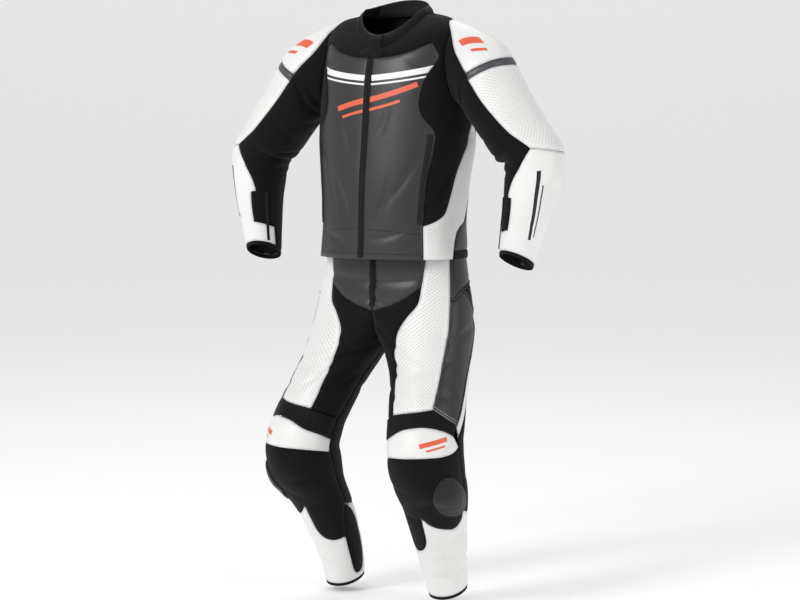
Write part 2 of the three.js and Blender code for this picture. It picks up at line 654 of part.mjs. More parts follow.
// Where the sleeve starts, its inner points stay out of the trunk's cloth round the armhole.
function sleeveStart(q, outer, inner) {
  const centre = bareTrunk(ARMHOLE.q, ARMHOLE.up);
  const a = rad(q);
  const out = trunk.out(ARMHOLE.q - ARMHOLE.halfQ * Math.cos(a), ARMHOLE.up + ARMHOLE.halfUp * Math.sin(a));
  const away = outer.clone().sub(centre);
  away.addScaledVector(out, -away.dot(out)).normalize();
  const lean = inner.clone().sub(outer).dot(away);
  return lean > 0 ? inner.clone().addScaledVector(away, -lean) : inner;
}

function sleevePieces() {
  const pattern = { from: -90, low: 0, high: SLEEVE_LENGTH, seams: SLEEVE_SEAMS, step: 40 };
  return bothSides(cutCloth(sleeve, pattern, [
    ['sleeve_cap', [[90, 40]], WHITE, 0.5],
    ['sleeve_band', [[84, 104]], REFLECTIVE, 0.4],
    ['sleeve_outer', [[90, 200]], WHITE, 0.5],
    ['forearm', [[90, 420]], WHITE, 0.5],
    ['sleeve_inner', [[-80, 200]], BLACK, 0.85],
    ['cuff', [[90, SLEEVE_LENGTH - 4]], BLACK, 0.7],
  ], sleeveStart));
}

// The centre seam of the trousers, down the front, between the legs and up the back, is where
// the leg's form meets the middle of the body.
function centreSeam() {
  const meets = (z, outside, within) => {
    let [low, high] = [outside, within];
    for (let i = 0; i < 40; i += 1) {
      const middle = (low + high) / 2;
      if (leg.point(middle, z).x < 0) low = middle;
      else high = middle;
    }
    return [(low + high) / 2, z];
  };
  let crotch = -700;
  while (leg.point(-90, crotch).x < 0) crotch -= 0.5;
  const heights = [...levels(TROUSER_TOP, crotch + 34, 34), crotch + 12];
  return [
    ...heights.map((z) => meets(z, -90, 60)), [-90, crotch],
    ...heights.reverse().map((z) => [meets(z, 270, 120)[0] - 360, z]),
  ];
}

function legPieces() {
  const seams = [...LEG_SEAMS, { at: centreSeam(), straight: true }];
  const pattern = { from: -130, low: TROUSER_HEM, high: TROUSER_TOP, seams, step: 44 };
  const pieces = cutCloth(leg, pattern, [
    ['fly', [[15, -540]], ANTHRACITE, 0.5],
    ['thigh_front', [[55, -700]], WHITE, 0.5],
    ['hip', [[110, -540]], ANTHRACITE, 0.5],
    ['thigh_outer', [[80, -720]], ANTHRACITE, 0.5],
    ['thigh_flash', [[118, -800]], WHITE, 0.5],
    ['inner_thigh', [[-50, -800]], BLACK, 0.85],
    ['seat', [[180, -800], [-115, -850]], BLACK, 0.85],
    ['knee', [[20, -945]], WHITE, 0.5],
    ['shin', [[30, -1050]], BLACK, 0.8],
    ['calf', [[40, -1240]], WHITE, 0.5],
    ['calf_gusset', [[-84, -1240]], BLACK, 0.85],
    ['hem', [[90, TROUSER_HEM + 3]], BLACK, 0.7],
  ]);
  pieces.forEach(({ geometry: { attributes: { position } } }) => {
    for (let i = 0; i < position.count; i += 1) position.setX(i, Math.max(position.getX(i), SEAM_GAP / 2));
  });
  return bothSides(pieces);
}

// The knee's accordion band: ridges across the knee, over a plain inside.
const RIB = { count: 8, rise: 2.6, columns: 15, inset: 0.05, ends: 0.02, corner: [87, -927] };

function ribbedBand() {
  const spread = (places) => (t) => {
    const x = t * (places.length - 1);
    const i = Math.min(places.length - 2, Math.floor(x));
    return [0, 1].map((c) => places[i][c] + (places[i + 1][c] - places[i][c]) * (x - i));
  };
  const [, , , ribTop, arc, , kneeTop] = LEG_SEAMS;
  const top = spread([...seamPoints(leg, ribTop).reverse(), ...seamPoints(leg, arc).slice(1)]);
  const bottom = spread([...seamPoints(leg, kneeTop).slice(1).reverse(), RIB.corner]);
  const between = (lo, hi, count) => levels(0, count, 1).map((i) => lo + ((hi - lo) * i) / count);
  const rows = between(RIB.inset, 1 - RIB.inset, 2 * RIB.count).map((w) => (
    between(RIB.ends, 1 - RIB.ends, RIB.columns).map((t) => {
      const [a, b] = [top(t), bottom(t)];
      return leg.point(a[0] + (b[0] - a[0]) * w, a[1] + (b[1] - a[1]) * w);
    })
  )).reverse();
  return toGeometry(plate(rows, -WALL, (i) => WALL + (i % 2 === 1 ? RIB.rise : 0)));
}

// The knee slider's pad, an egg that narrows upwards.
function egg(form, { q, v, halfQ, halfV, sides, narrowing }, lift, height) {
  const ring = (r, rise) => Array.from({ length: sides }, (_, i) => {
    const a = (i / sides) * 2 * Math.PI;
    const narrow = 1 - narrowing * Math.sin(a);
    const place = [q + halfQ * r * narrow * Math.cos(a), v + halfV * r * Math.sin(a)];
    return form.point(...place).addScaledVector(form.out(...place), rise);
  });
  const under = [0.25, 0.65, 1].map((r) => ring(r, lift));
  const over = [1, 0.9, 0.6, 0.25].map((r) => ring(r, lift + height * (1 - 0.7 * r ** 3)));
  return toGeometry(solidFromRings([...under, ...over]));
}

const SLIDER_PAD = { q: 66, v: -1070, halfQ: 30, halfV: 50, sides: 22, narrowing: 0.16 };

const strip = (form, rows) => rows.map(([v, ...angles]) => angles.map((q) => form.point(q, v)));
const stripRows = (from, to, step, angles) => levels(from, to, step).map((v) => [v, ...angles]);

// A place on the front of the trousers at a given distance from the middle.
function frontAt(x, z) {
  let [low, high] = [-80, 60];
  for (let i = 0; i < 40; i += 1) {
    const middle = (low + high) / 2;
    if (leg.point(middle, z).x < Math.abs(x)) low = middle;
    else high = middle;
  }
  const point = leg.point((low + high) / 2, z);
  point.x = x;
  return point;
}

function closures() {
  const zipWidth = 1.5;
  const mainZip = strip(trunk, stripRows(4, 500, 31, [-zipWidth, 0, zipWidth]));
  const flyZip = levels(-642, -498, 18).map((z) => [-7, 0, 7].map((x) => frontAt(x, z)));
  const welt = strip(trunk, levels(0, 1, 0.125).map((t) => {
    const [inner, outer] = [45 + 1.6 * t, 49.6 + 2.6 * t];
    return [84 + 216 * t, inner, (inner + outer) / 2, outer];
  }));
  const cuffZip = strip(sleeve, stripRows(536, 404, 22, [-58, -54, -50])).reverse();
  return [
    { name: 'main_zip', geometry: toGeometry(plate(mainZip, 0.6, 2)), color: BLACK, roughness: 0.5 },
    { name: 'fly_zip', geometry: toGeometry(plate(flyZip, 0.6, 2)), color: BLACK, roughness: 0.5 },
    ...bothSides([
      { name: 'pocket_welt', geometry: toGeometry(plate(welt, 0.6, 1.8)), color: BLACK, roughness: 0.5 },
      { name: 'cuff_zip', geometry: toGeometry(plate(cuffZip, -0.6, -2)), color: BLACK, roughness: 0.5 },
    ]),
  ];
}

// The collar, its rolled rim, the lining that shows inside its back, and the flap that
// closes over the top of the main zip.
const FLAP_SHIFT = 1;        // degrees towards the left

function collarPieces() {
  const seams = [{ at: [[0, 27], [180, 27], [360, 27]], straight: true }];
  const pattern = { from: 0, low: 0, high: COLLAR_HEIGHT, seams, step: 40 };
  const lined = [[trunk, 588], [trunk, 606], [collar, 3], [collar, 18], [collar, 33]];
  const lining = lined.map(([form, v]) => levels(122, 238, 12).map((q) => form.point(q, v)));
  const flapRows = [
    [trunk, 506, 3], [trunk, 512, 6.4], [trunk, 522, 8.4], [trunk, 540, 9.4], [trunk, 560, 9.6],
    [trunk, 585, 9.8], [trunk, 612, 10], [collar, 8, 10], [collar, 20, 10.4], [collar, 32, 10.4],
  ];
  const flap = flapRows.map(([form, v, half]) => (
    [-half, -half / 2, 0, half / 2, half].map((q) => form.point(q + FLAP_SHIFT, v))
  ));
  return [
    ...cutCloth(collar, pattern, [
      ['collar', [[90, 12]], BLACK, 0.8],
      ['collar_rim', [[90, 32]], BLACK, 0.8],
    ]),
    { name: 'collar_lining', geometry: toGeometry(plate(lining, -6.8, 1.2)), color: BLACK, roughness: 0.9 },
    { name: 'collar_flap', geometry: toGeometry(plate(flap, 0.7, 2.4)), color: BLACK, roughness: 0.7 },
  ];
}

const pieces = [...jacketBody(), ...sleevePieces(), ...legPieces(), ...collarPieces(), ...closures()];
pieces.push(...bothSides([
  { name: 'knee_ribs', geometry: ribbedBand(), color: BLACK, roughness: 0.8 },
  { name: 'knee_slider', geometry: egg(leg, SLIDER_PAD, 1.8, 10), color: PUCK_GREY, roughness: 0.35 },
]));

const suit = new THREE.Group();
pieces.forEach(({ name, geometry, color, roughness }) => {
  const mesh = new THREE.Mesh(geometry, new THREE.MeshStandardMaterial({ color, roughness }));
  mesh.name = name;
  suit.add(mesh);
});

export default suit;
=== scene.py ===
"""Looks of a two-piece motorcycle race suit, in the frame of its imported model.

The cloth is worked out again from the suit's sections, folds and seams, on a finer net and
with its smaller creases, rolled seam edges and sewing. Sizes in the tables are millimetres.
"""

import math

import bpy
import numpy as np
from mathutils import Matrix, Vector, kdtree
from mathutils.geometry import delaunay_2d_cdt


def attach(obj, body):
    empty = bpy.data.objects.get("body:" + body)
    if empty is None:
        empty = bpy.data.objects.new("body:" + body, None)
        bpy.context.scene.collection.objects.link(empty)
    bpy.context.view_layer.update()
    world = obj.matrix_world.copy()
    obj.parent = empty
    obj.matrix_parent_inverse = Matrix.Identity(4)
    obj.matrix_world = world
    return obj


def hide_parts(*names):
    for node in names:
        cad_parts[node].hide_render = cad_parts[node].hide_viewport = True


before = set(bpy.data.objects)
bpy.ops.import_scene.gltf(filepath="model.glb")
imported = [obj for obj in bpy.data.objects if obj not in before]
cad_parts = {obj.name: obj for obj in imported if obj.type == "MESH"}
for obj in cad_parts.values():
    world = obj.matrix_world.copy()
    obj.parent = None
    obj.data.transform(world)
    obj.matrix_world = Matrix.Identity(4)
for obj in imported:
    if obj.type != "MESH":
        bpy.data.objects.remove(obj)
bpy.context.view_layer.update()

# Driving dimensions, in millimetres
MM = 0.001
WALL = 2.0
NET = 5.6                   # spacing of the fine net
SEAM_STEP = 5.0             # spacing of places along a seam
JACKET_LENGTH = 620
COLLAR_HEIGHT = 36
SLEEVE_LENGTH = 550
TROUSER_TOP = -490
TROUSER_HEM = -1322
SLEEVE_ROOT = 80
CUFF_SLANT = 15
HEM_SLANT = 17
SEAM_DIP = 1.5              # how far a panel's edge rolls down into its seam
SEAM_ROLL = 4.0             # over what distance
PADDING = 1.2               # how far the leather stands up between its seams
STITCH_IN = 3.2             # from a seam to its row of stitches
STITCH_PITCH = 4.0
STITCH_RISE = -0.35         # of a stitch's middle, from the unpadded cloth
STITCH_SIZE = (1.5, 0.5, 0.42)
PERFORATION_PITCH = 5.6
NECK_FLAT = 8.0             # reach of the flat edges at the neck seam
NECK_TAPE = 1.3             # radius of the tape sewn in behind that seam
MIDDLE_GAP = 0.15           # from the body's middle to a leg's seam there
NARROWEST = 0.01            # of a stated sheet, in metres
LEAST_FILLED = 0.31         # share of a stated sheet that its panel covers
CLEAR_OF_SEAM = 0.45        # of the net's spacing, from its places to a seam
CLEAR_OF_EDGE = 0.6
PADDING_REACH = 12          # from a seam to where the leather stands up
STITCH_CLEAR = 0.86         # share of STITCH_IN that a stitch keeps from every seam
EDGE_HEIGHT = 0.55          # of a strip's thickness, along its sides
END_HEIGHT = 0.7            # and at its ends
TAPE_LIFT = 0.9             # of tapes and the flap over the cloth
TAPE_WALL = 1.4
WELT_WALL = 1.3
FLAP_WALL = 2.4
LINING_LIFT = -6.8
LINING_WALL = 1.2
TOOTH_PITCH = 2.6
TOOTH_SIZE = (1.5, 0.9, 0.8)
TOOTH_ASIDE = 0.8           # from the middle of the tape
TOOTH_RISE = 2.4
WELT_TOOTH_RISE = 2.3
TEETH_END = 3               # from the end of the tape to its first tooth
WAIST = -600                # the stitches over it are the jacket's, the others the trousers'

# Zips and pocket welts: their ends, and their sides as angles or millimetres from the middle
MAIN_ZIP_UP = (4, 500)
MAIN_ZIP_Q = (-1.5, 1.5)
CUFF_ZIP_AT = (404, 536)
CUFF_ZIP_Q = (-50, -58)
FLY_ZIP_Z = (-642, -498)
FLY_ZIP_X = (-7, 7)
WELT_UP = (84, 300)
WELT_SIDES = ((45, 46.6), (49.6, 52.2))

# Camera, in metres
CAMERA_AZIMUTH = 34
CAMERA_DISTANCE = 6.0
CAMERA_HEIGHT = -0.151
AIM_HEIGHT = -0.6336
AIM_SIDE = 0.0144
CAMERA_LENS = 112.9
SENSOR_WIDTH = 36
CLIP_END = 100
FLOOR_HEIGHT = -1.352

# Sections from hem to neck. q is the angle round a form: 0 front, 90 left, 180 back.
TRUNK = {
    "columns": ("up", "z", "half", "mid", "fore", "aft", "n", "dip", "lift"),
    "rows": [
        (0, -528, 187, 0, 141, 128, 2.3, 0, 0),
        (90, -440, 180, 4, 138, 128, 2.3, 0, 0),
        (185, -346, 186, 8, 134, 142, 2.3, 0, 0),
        (285, -250, 198, 14, 124, 152, 2.3, 0, 0),
        (365, -170, 196, 16, 116, 150, 2.35, 4, 0),
        (440, -95, 188, 14, 108, 138, 2.4, 10, 0),
        (500, -35, 180, 12, 98, 118, 2.4, 24, 0),
        (540, 12, 174, 10, 92, 104, 2.3, 58, 8),
        (575, 35, 146, 8, 88, 93, 2.2, 75, 8),
        (620, 46, 96, 6, 84, 86, 2.1, 80, 10),
    ],
}
COLLAR = {
    "columns": TRUNK["columns"],
    "rows": [
        (0, 46.6, 96, 6, 84, 86, 2.1, 80, 10),
        (18, 56, 90, 6, 76, 85, 2.0, 73, 17),
        (36, 63, 84, 6, 66, 80, 2.0, 64, 22),
    ],
}
SLEEVE = {
    "columns": ("at", "x", "y", "z", "lean", "pitch", "out", "inn", "fore", "aft"),
    "rows": [
        (0, 188, 12, -68, 76, 0, 100, 96, 78, 84),
        (65, 234, 8, -100, 54, 0, 97, 82, 80, 82),
        (150, 288, 0, -164, 38, 0, 82, 74, 78, 80),
        (240, 346, -4, -240, 36, 2, 78, 70, 74, 76),
        (315, 389, -5, -298, 12, 5, 78, 68, 70, 74),
        (400, 386, -18, -384, -7, 7, 62, 57, 59, 60),
        (480, 374, -27, -462, -9, 7, 50, 48, 50, 50),
        (550, 363, -34, -528, -9, 7, 43, 42, 43, 43),
        (575, 359, -37, -552, -9, 7, 42, 41, 42, 42),
    ],
}
ARMHOLE = {"q": 98, "up": 459, "half_q": 32, "half_up": 113}
LEG = {
    "columns": ("z", "x", "y", "out", "inn", "fore", "aft", "n"),
    "rows": [
        (-490, 0, 8, 179, 179, 98, 97, 2.3),
        (-545, 0, 8, 185.5, 185.5, 98, 104, 2.3),
        (-590, 10, 5, 184, 178, 97, 108, 2.3),
        (-634, 35, 0, 168, 150, 95, 112, 2.3),
        (-690, 75, -8, 136, 106, 96, 112, 2.25),
        (-742, 106, -24, 110, 104, 98, 106, 2.2),
        (-790, 132, -46, 92, 92, 96, 98, 2.15),
        (-874, 157, -92, 88, 88, 92, 92, 2.1),
        (-970, 175, -128, 88, 86, 92, 88, 2.1),
        (-1018, 177, -122, 87, 87, 94, 88, 2.1),
        (-1066, 176, -104, 84, 82, 88, 84, 2.1),
        (-1114, 168, -74, 74, 74, 76, 76, 2.1),
        (-1162, 159, -50, 66, 66, 68, 68, 2.1),
        (-1210, 154, -29, 61, 60, 62, 62, 2.1),
        (-1258, 150, -11, 53, 53, 55, 56, 2.1),
        (-1306, 150, 4, 48, 48, 50, 51, 2.1),
        (-1345, 151, 13, 47, 47, 49, 50, 2.1),
    ],
}

# Folds and creases, each a soft trough or ridge: its q and v, turn from the sections, reach,
# width, depth and the bend of its line
SLEEVE_FOLDS = [
    (285, 300, 8, 60, 13, -7, 0), (300, 272, -12, 52, 12, 4, 0), (262, 326, 14, 50, 12, -5, 0),
    (330, 318, 24, 40, 11, -4, 0), (250, 40, 20, 46, 16, -6, 0), (318, 70, -30, 50, 15, -5, 0),
    (60, 262, -18, 34, 10, -4, 0), (120, 335, 10, 36, 11, -4, 0),
    (278, 252, 16, 44, 7, -5.7, 6), (310, 292, -6, 40, 6, -4.9, -5), (272, 342, -10, 38, 6, -4.6, 5),
    (334, 90, -34, 42, 7, -4.9, 8), (300, 112, -20, 46, 8, -5.3, -7), (262, 150, 12, 40, 8, -4.2, 6),
    (345, 210, 40, 44, 7, -3.8, 5), (300, 205, -16, 34, 6, -3.4, 4), (40, 330, 14, 30, 6, -3.4, 5),
    (80, 372, -8, 34, 7, -3.4, -4), (30, 455, 10, 26, 6, -3, 4), (110, 470, -10, 28, 6, -3, -4),
    (70, 505, 6, 26, 5, -2.7, 3), (200, 300, -14, 40, 8, -5.7, 5), (205, 345, 8, 38, 7, -4.6, -5),
]
LEG_FOLDS = [
    (300, -745, -32, 62, 14, -6, 0), (318, -700, -38, 55, 13, 4, 0), (250, -760, 20, 58, 15, -6, 0),
    (180, -935, 4, 62, 14, -8, 0), (195, -975, -8, 56, 13, -7, 0), (165, -1015, 8, 50, 13, -5, 0),
    (20, -1205, 10, 34, 9, -4, 0), (50, -1228, -8, 40, 9, -4, 0), (15, -1250, 6, 36, 9, 3, 0),
    (200, -1190, -10, 44, 12, -4, 0),
    (325, -760, -30, 56, 8, -5.7, 8), (340, -800, -40, 50, 7, -4.6, -7), (310, -835, -24, 46, 8, -4.6, 6),
    (290, -700, -36, 48, 8, -5.7, -6), (350, -730, -46, 44, 7, -3.8, 5), (40, -780, 24, 54, 9, -3.4, 6),
    (60, -840, -14, 50, 8, -3, -5), (90, -700, 30, 60, 10, -3.4, 7), (20, -580, 12, 50, 9, -3.8, 5),
    (-12, -620, -30, 44, 8, -4.2, -5), (330, -1060, -12, 40, 8, -3.8, 5), (20, -1095, 12, 44, 8, -3.8, -5),
    (-20, -1130, -16, 40, 7, -3.4, 5), (75, -1180, 12, 36, 7, -4.2, 5), (30, -1272, -6, 34, 6, -3.8, 4),
    (80, -1262, 8, 32, 6, -3.4, -4), (-20, -1228, 12, 30, 6, -3.8, 4), (130, -1240, -10, 36, 7, -3.8, 4),
    (180, -895, -8, 50, 8, -5.7, 5), (215, -850, 14, 48, 9, -4.9, -6), (150, -650, 22, 60, 11, -4.6, 6),
    (205, -640, -22, 60, 11, -4.6, -6), (185, -1060, -6, 44, 8, -4.9, 5), (160, -1160, 8, 40, 8, -3.8, 4),
]
TRUNK_FOLDS = [
    (112, 318, 26, 60, 16, -6, 0), (248, 318, -26, 60, 16, -6, 0), (150, 150, -14, 70, 18, -5, 0),
    (214, 118, 12, 70, 18, -5, 0), (180, 88, 0, 74, 17, -5, 0),
    (14, 120, 70, 60, 9, -3.4, 6), (-16, 145, -70, 58, 9, -3.4, -6), (32, 190, 60, 70, 10, -3, 8),
    (-34, 210, -62, 66, 10, -3, -8), (24, 60, 20, 44, 8, -3, 5), (-26, 52, -18, 44, 8, -3, -5),
    (62, 150, 50, 50, 9, -3.8, 6), (-62, 160, -50, 50, 9, -3.8, -6), (74, 320, -34, 44, 9, -4.6, 5),
    (-74, 325, 34, 44, 9, -4.6, -5), (40, 470, -24, 40, 9, -2.7, 5), (-40, 474, 24, 40, 9, -2.7, -5),
    (140, 240, -30, 60, 10, -4.2, 6), (222, 250, 30, 60, 10, -4.2, -6), (180, 330, 4, 70, 12, -3.4, 6),
    (12, 330, 76, 54, 9, -2.7, 6), (-12, 300, -76, 54, 9, -2.7, -6),
]

# Seams as places (q, v) on a form
CHEST_EDGE = [(0, 512), (10, 509), (30, 523), (50, 532), (57, 512), (60, 484), (48, 450), (40, 402),
              (39, 360), (46, 330), (54, 306), (54, 250), (52, 189), (51, 81), (50, 0)]
SIDE_FRONT = [(99, 350), (93, 290), (84, 213), (80, 162), (76, 123), (72, 105), (62, 90), (51, 81)]
SIDE_BACK = [(114, 366), (118, 250), (114, 150), (104, 93), (92, 75), (86, 45), (82, 0)]
BACK_YOKE = [(127, 453), (150, 436), (180, 428), (210, 436), (233, 453)]
BACK_HEM = [(82, 20), (130, 22), (180, 24), (230, 22), (278, 20)]
SLEEVE_FRONT = [(60, 0), (50, 12), (36, 26), (20, 46), (7, 75), (5, 105), (5, 138), (8, 183), (16, 243),
                (24, 275), (31, 295)]
SLEEVE_BACK = [(180 - q, v) for q, v in SLEEVE_FRONT]
SLEEVE_SEAMS = [
    SLEEVE_FRONT,
    SLEEVE_BACK,
    [(31, 295), (15, 313), (-3, 342), (-18, 370), (-27, 402), (-21, 404), (-15, 405), (-13, 450), (-14, 490)],
    [(-14, 490), (-45, 494), (-78, 496)],
    [(-78, 496), (-80, 520), (-82, SLEEVE_LENGTH - 9)],
    [(149, 295), (166, 318), (182, 350), (193, 400), (195, 470), (195, SLEEVE_LENGTH - 9)],
    [(31, 295), (60, 304), (90, 307), (120, 304), (149, 295)],
    [(7, 72), (42, 88), (84, 97), (130, 90), (173, 72)],
    [(5, 88), (42, 102), (84, 112), (130, 105), (175, 88)],
    [(-90, SLEEVE_LENGTH - 9), (90, SLEEVE_LENGTH - 9), (270, SLEEVE_LENGTH - 9)],
]
RIB_TOP = [(42, -868), (20, -873), (-6, -879), (-28, -886), (-55, -899), (-82, -911)]
RIB_ARC = [(42, -868), (64, -889), (87, -907)]
KNEE_TOP = [(94, -955), (80, -928), (54, -912), (27, -906), (-2, -913), (-30, -932), (-58, -946), (-84, -961)]
RIB_CORNER = (87, -927)
HIP_SEAM = [(66, -622), (74, -620), (88, -601), (110, -585), (150, -576), (200, -574)]
THIGH_SIDE = [(88, -601), (112, -650), (117, -700), (114, -740), (105, -799), (98, -862), (87, -907)]
LEG_SEAMS = [
    [(45, TROUSER_TOP), (44, -530), (37, -590), (29, -632), (16, -660), (3, -690), (-6, -722), (-16, -760),
     (-24, -800), (-28, -850), (-28, -886)],
    [(74, TROUSER_TOP), (73, -530), (68, -601), (63, -655), (58, -720), (50, -800), (42, -868)],
    [(37, -590), (24, -612), (8, -633), (-8, -648), (-24, -657)],
    RIB_TOP,
    RIB_ARC,
    [(87, -907), (92, -930), (94, -955)],
    KNEE_TOP,
    [(94, -955), (84, -966), (62, -973), (40, -975), (14, -977), (-8, -979), (-30, -981), (-64, -987),
     (-84, -992)],
    [(-90, -728), (-90, -800), (-88, -880), (-82, -911), (-84, -961), (-84, -992), (-90, -1060),
     (-88, -1125)],
    HIP_SEAM,
    THIGH_SIDE,
    [(114, -740), (126, -790), (125, -840), (112, -890), (92, -935)],
    [(94, -955), (99, -1020), (98, -1080), (95, -1112)],
    [(95, -1112), (89, -1138), (70, -1155), (42, -1153), (20, -1145), (2, -1130)],
    [(2, -1130), (4, -1158), (2, -1187), (-10, -1204), (-34, -1209), (-62, -1204)],
    [(95, -1112), (130, -1125), (180, -1138), (230, -1130), (272, -1125)],
    [(-88, -1125), (-72, -1162), (-62, -1204)],
    [(-62, -1204), (-62, -1243), (-66, -1280), (-73, -1298), (-88, -1303), (-104, -1297), (-115, -1278),
     (-119, -1238), (-116, -1185), (-106, -1148), (-88, -1125)],
    [(-130, TROUSER_HEM + 7), (50, TROUSER_HEM + 7), (230, TROUSER_HEM + 7)],
]


def smooth(t):
    s = np.clip(t, 0, 1)
    return s * s * (3 - 2 * s)


def unit(vectors):
    return vectors / np.maximum(np.linalg.norm(vectors, axis=-1, keepdims=True), 1e-9)


def power(v, e):
    return np.sign(v) * np.abs(v) ** e


def section(form, value):
    """The sections' values at places along a form, on a curve through the table's rows."""
    rows = np.array(form["rows"], float)
    keys = rows[:, 0]
    sign = 1.0 if keys[-1] > keys[0] else -1.0
    value = np.asarray(value, float)
    i = np.clip(np.searchsorted(keys * sign, value * sign) - 1, 0, len(keys) - 2)
    steps = (rows[1:] - rows[:-1]) / (keys[1:] - keys[:-1])[:, None]
    slopes = np.vstack([steps[:1], (steps[1:] + steps[:-1]) / 2, steps[-1:]])
    h = keys[i + 1] - keys[i]
    t = np.clip((value - keys[i]) / h, 0, 1)[:, None]
    h = h[:, None]
    found = ((2 * t**3 - 3 * t**2 + 1) * rows[i] + (t**3 - 2 * t**2 + t) * h * slopes[i]
             + (3 * t**2 - 2 * t**3) * rows[i + 1] + (t**3 - t**2) * h * slopes[i + 1])
    return {name: found[:, c] for c, name in enumerate(form["columns"])}


def trunk_point(table, q, up):
    r = section(table, up)
    c, s = np.cos(np.radians(q)), np.sin(np.radians(q))
    depth = np.where(c > 0, r["fore"] + r["mid"], r["aft"] - r["mid"])
    return np.stack([
        r["half"] * power(s, 2 / r["n"]),
        r["mid"] - depth * power(c, 2 / r["n"]),
        r["z"] - r["dip"] * np.maximum(c, 0) ** 1.5 + r["lift"] * np.maximum(-c, 0) ** 1.5,
    ], axis=1)


def bare_trunk(q, up):
    return trunk_point(TRUNK, q, up)


def bare_collar(q, up):
    return trunk_point(COLLAR, q, up)


def bare_leg(q, z):
    c, s = np.cos(np.radians(q)), np.sin(np.radians(q))
    r = section(LEG, z - HEM_SLANT * c * smooth((-1100 - z) / 200))
    return np.stack([
        r["x"] + np.where(s > 0, r["out"], r["inn"]) * power(s, 2 / r["n"]),
        r["y"] - np.where(c > 0, r["fore"], r["aft"]) * power(c, 2 / r["n"]),
        r["z"],
    ], axis=1)


def bare_sleeve(q, at):
    c, s = np.cos(np.radians(q)), np.sin(np.radians(q))
    r = section(SLEEVE, at - CUFF_SLANT * c * smooth((at - 380) / 150))
    lean, pitch = np.radians(r["lean"]), np.radians(r["pitch"])
    nought = np.zeros_like(lean)
    outward = np.stack([np.cos(lean), nought, np.sin(lean)], axis=1)
    down = np.stack([np.sin(lean), nought, -np.cos(lean)], axis=1)
    forward = np.stack([nought, -np.cos(pitch), nought], axis=1) - down * np.sin(pitch)[:, None]
    point = (np.stack([r["x"], r["y"], r["z"]], axis=1)
             + outward * (np.where(s > 0, r["out"], r["inn"]) * s)[:, None]
             + forward * (np.where(c > 0, r["fore"], r["aft"]) * c)[:, None])
    root = bare_trunk(ARMHOLE["q"] - ARMHOLE["half_q"] * c, ARMHOLE["up"] + ARMHOLE["half_up"] * s)
    t = smooth(at / SLEEVE_ROOT)[:, None]
    return root * (1 - t) + point * t


class Form:
    """The outside of a garment's cloth at places (q, v), with folds. sense is -1 where v runs down."""

    def __init__(self, bare, sense, girth, folds, start, low, high):
        self.bare, self.sense, self.girth, self.folds = bare, sense, girth, folds
        self.start, self.low, self.high = start, low, high
        self.across = girth / 360

    def facing(self, surface, q, v):
        dq, dv = 0.6, 0.8
        round_it = surface(q + dq, v) - surface(q - dq, v)
        along = surface(q, v + dv) - surface(q, v - dv)
        return unit(np.cross(round_it, along) * self.sense)

    def rise(self, q, v):
        total = np.zeros(len(q))
        for fq, fv, turn, reach, width, depth, bend in self.folds:
            across = (((q - fq + 180) % 360) - 180) * self.across
            along = v - fv
            c, s = math.cos(math.radians(turn)), math.sin(math.radians(turn))
            a = (across * c + along * s) / reach
            b = (-across * s + along * c - bend * a * a) / width
            total += depth * np.exp(-a * a - b * b)
        return total

    def point(self, q, v):
        q, v = np.asarray(q, float), np.asarray(v, float)
        return self.bare(q, v) + self.facing(self.bare, q, v) * self.rise(q, v)[:, None]

    def out(self, q, v):
        return self.facing(self.point, np.asarray(q, float), np.asarray(v, float))


trunk = Form(bare_trunk, 1, 1040, TRUNK_FOLDS, -180, 0, JACKET_LENGTH)
collar = Form(bare_collar, 1, 540, [], -180, 0, COLLAR_HEIGHT)
sleeve = Form(bare_sleeve, -1, 440, SLEEVE_FOLDS, -90, 0, SLEEVE_LENGTH)
leg = Form(bare_leg, 1, 520, LEG_FOLDS, -130, TROUSER_HEM, TROUSER_TOP)


def curve(form, at, step=SEAM_STEP, straight=False):
    """Places along a smooth curve through the given ones."""
    at = [np.array(p, float) for p in at]
    places = []
    for i in range(len(at) - 1):
        a, b = at[i], at[i + 1]
        before = at[i - 1] if i else 2 * a - b
        after = at[i + 2] if i + 2 < len(at) else 2 * b - a
        length = math.hypot((b[0] - a[0]) * form.across, b[1] - a[1])
        for t in np.linspace(0, 1, max(1, round(length / step)), endpoint=False):
            places.append(a + (b - a) * t if straight else 0.5 * (
                2 * a + (b - before) * t + (2 * before - 5 * a + 4 * b - after) * t**2
                + (3 * a - before - 3 * b + after) * t**3))
    return np.array([*places, at[-1]])


def mirrored(at):
    return [(-q, v) for q, v in at]


def armhole_seam(sign):
    turn = np.radians(np.arange(0, 361, 5))
    return np.stack([sign * (ARMHOLE["q"] - ARMHOLE["half_q"] * np.cos(turn)),
                     ARMHOLE["up"] + ARMHOLE["half_up"] * np.sin(turn)], axis=1)


def place_at(x, z, low=-90.0, high=60.0):
    """The place at height z, between two angles, where the left leg's form is x from the middle."""
    for _ in range(36):
        middle = (low + high) / 2
        if leg.point([middle], [z])[0, 0] < x:
            low = middle
        else:
            high = middle
    return ((low + high) / 2, z)


def centre_seam():
    """Where the left leg's form meets the middle of the body, front, between the legs and back."""
    crotch = -700.0
    while leg.point([-90], [crotch])[0, 0] < 0:
        crotch -= 0.5
    heights = [*np.arange(TROUSER_TOP, crotch + 6, -6), crotch + 4, crotch + 1.5]
    front = [place_at(0, z) for z in heights]
    back = [(place_at(0, z, 270, 120)[0] - 360, z) for z in reversed(heights)]
    return np.array([*front, (-90, crotch), *back])


